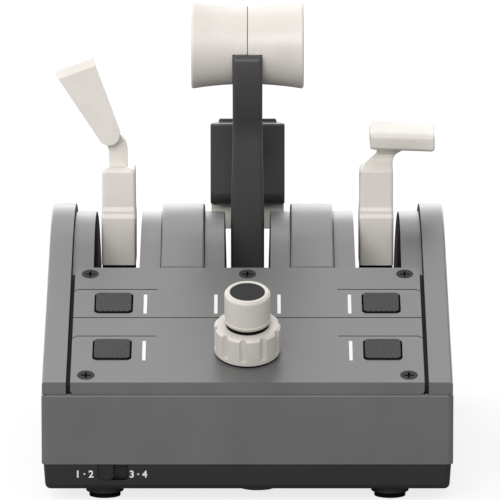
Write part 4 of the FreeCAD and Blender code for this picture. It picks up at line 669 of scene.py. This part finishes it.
# ------------------------------------------------------------------ reverse lever
# Dark grip block with a low ridge on top, on a curved link behind the thrust arm, and a pale
# finger pull under it.
block = merged("reverser_pad")
pull(block, lambda c: c.z > 139, shift=(0, 0, -0.9))
finish_edges(block, 0.9, lever_black, steps=4)
stand_in(block, "reverser_pad")
ridge = stacked("reverser_pad_ridge", [
    (138.5, -13.9, 13.9, 100.2, 101.9), (140.4, -13.9, 13.9, 100.2, 101.9),
    (140.9, -13.2, 13.2, 100.5, 101.7)], 0.6)
finish_edges(ridge, 0.15, lever_black)
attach(ridge, home["reverser_pad"])
soften("reverser_link", 0.6, lever_black)
soften("reverser_pull", 0.6, warm_white)
dress("reverser_pin", lever_black)

# ------------------------------------------------------------------ flap lever
# Pale sleeve like the first, which bends into a curved neck under a bar that reaches outward.
# The top of the bar rises to the back and falls a little towards its outer end.
sleeve = stacked("flap_sleeve_piece", sleeve_foot(lever_x) + [
    (122.1, 52.95, 68.85, 33, 53), (125.6, 53.3, 68.8, 33, 53), (127.5, 54.2, 68.6, 34.8, 51.2),
    (129.4, 55.6, 68.6, 37, 49.4), (131.5, 57.6, 68.9, 38, 49), (133.4, 59.9, 70.1, 37.9, 49.2),
    (134.7, 61.1, 71.9, 36.8, 50), (136.4, 61.5, 74.4, 34, 51.8)], sleeve_corner)
finish_edges(sleeve, sleeve_edge, warm_white, sharp=sleeve_sharp)
stand_in(sleeve, "flap_sleeve")
collar("flap_collar", lever_x, home["flap_sleeve"])
bar = stacked("flap_handle_piece", [
    (136.1, 59.0, 87.6, 33.4, 52.6), (136.6, 58.3, 88.3, 32.2, 53.8),
    (137.6, 58.0, 88.6, 31.4, 54.6), (141.4, 57.9, 88.5, 31, 55),
    (142.8, 57.9, 88.4, 31.2, 55), (143.9, 58.0, 88.2, 31.9, 54.9),
    (144.4, 58.3, 87.9, 33, 54.6), (144.6, 59.0, 87.2, 34.4, 53.9)], 1.2)
top_above = 143.3
top_corner = Vector((60, 32, 144)) * mm
for face in bar.data.polygons:
    face.select = face.center.z > top_above * mm
only(bar)
bpy.ops.object.mode_set(mode="EDIT")
bpy.ops.mesh.select_mode(type="FACE")
bpy.ops.transform.rotate(value=radians(-6), orient_axis="X", center_override=top_corner)
bpy.ops.transform.rotate(value=radians(-2), orient_axis="Y", center_override=top_corner)
bpy.ops.object.mode_set(mode="OBJECT")
grained_white = moulded("grained_white", (0.69, 0.655, 0.605), 0.42, grain=3, worn=0.06)
finish_edges(bar, 0.3, grained_white, sharp=24)
stand_in(bar, "flap_handle")
dress("flap_arm", lever_black)

# ------------------------------------------------------------------ pivot and electronics
# Steel shaft and brackets, bronze bushes, ring magnets and the circuit boards, all inside.
shaft_steel = metal("shaft_steel", (0.60, 0.60, 0.61), 0.28, 0.12)
bush_bronze = metal("bush_bronze", (0.58, 0.40, 0.20), 0.34, 0.1)
magnet_nickel = metal("magnet_nickel", (0.36, 0.36, 0.37), 0.42)
board_green = moulded("board_green", (0.012, 0.085, 0.035), 0.28, grain=0.2, worn=0.1)
for node in ("pivot_shaft", "bearing_bracket_1", "bearing_bracket_2", "bearing_bracket_3",
             "bearing_bracket_4", "bracket_screws", "shaft_collars", "usb_socket", "grip_bolt"):
    dress(node, shaft_steel)
for lever in ("speedbrake", "thrust", "flap"):
    dress(lever + "_bush", bush_bronze)
    dress(lever + "_magnet", magnet_nickel)
for node in ("main_board", "button_board", "lever_sensors"):
    dress(node, board_green)
for node in ("encoder_body", "encoder_rotor"):
    dress(node, slide_black)
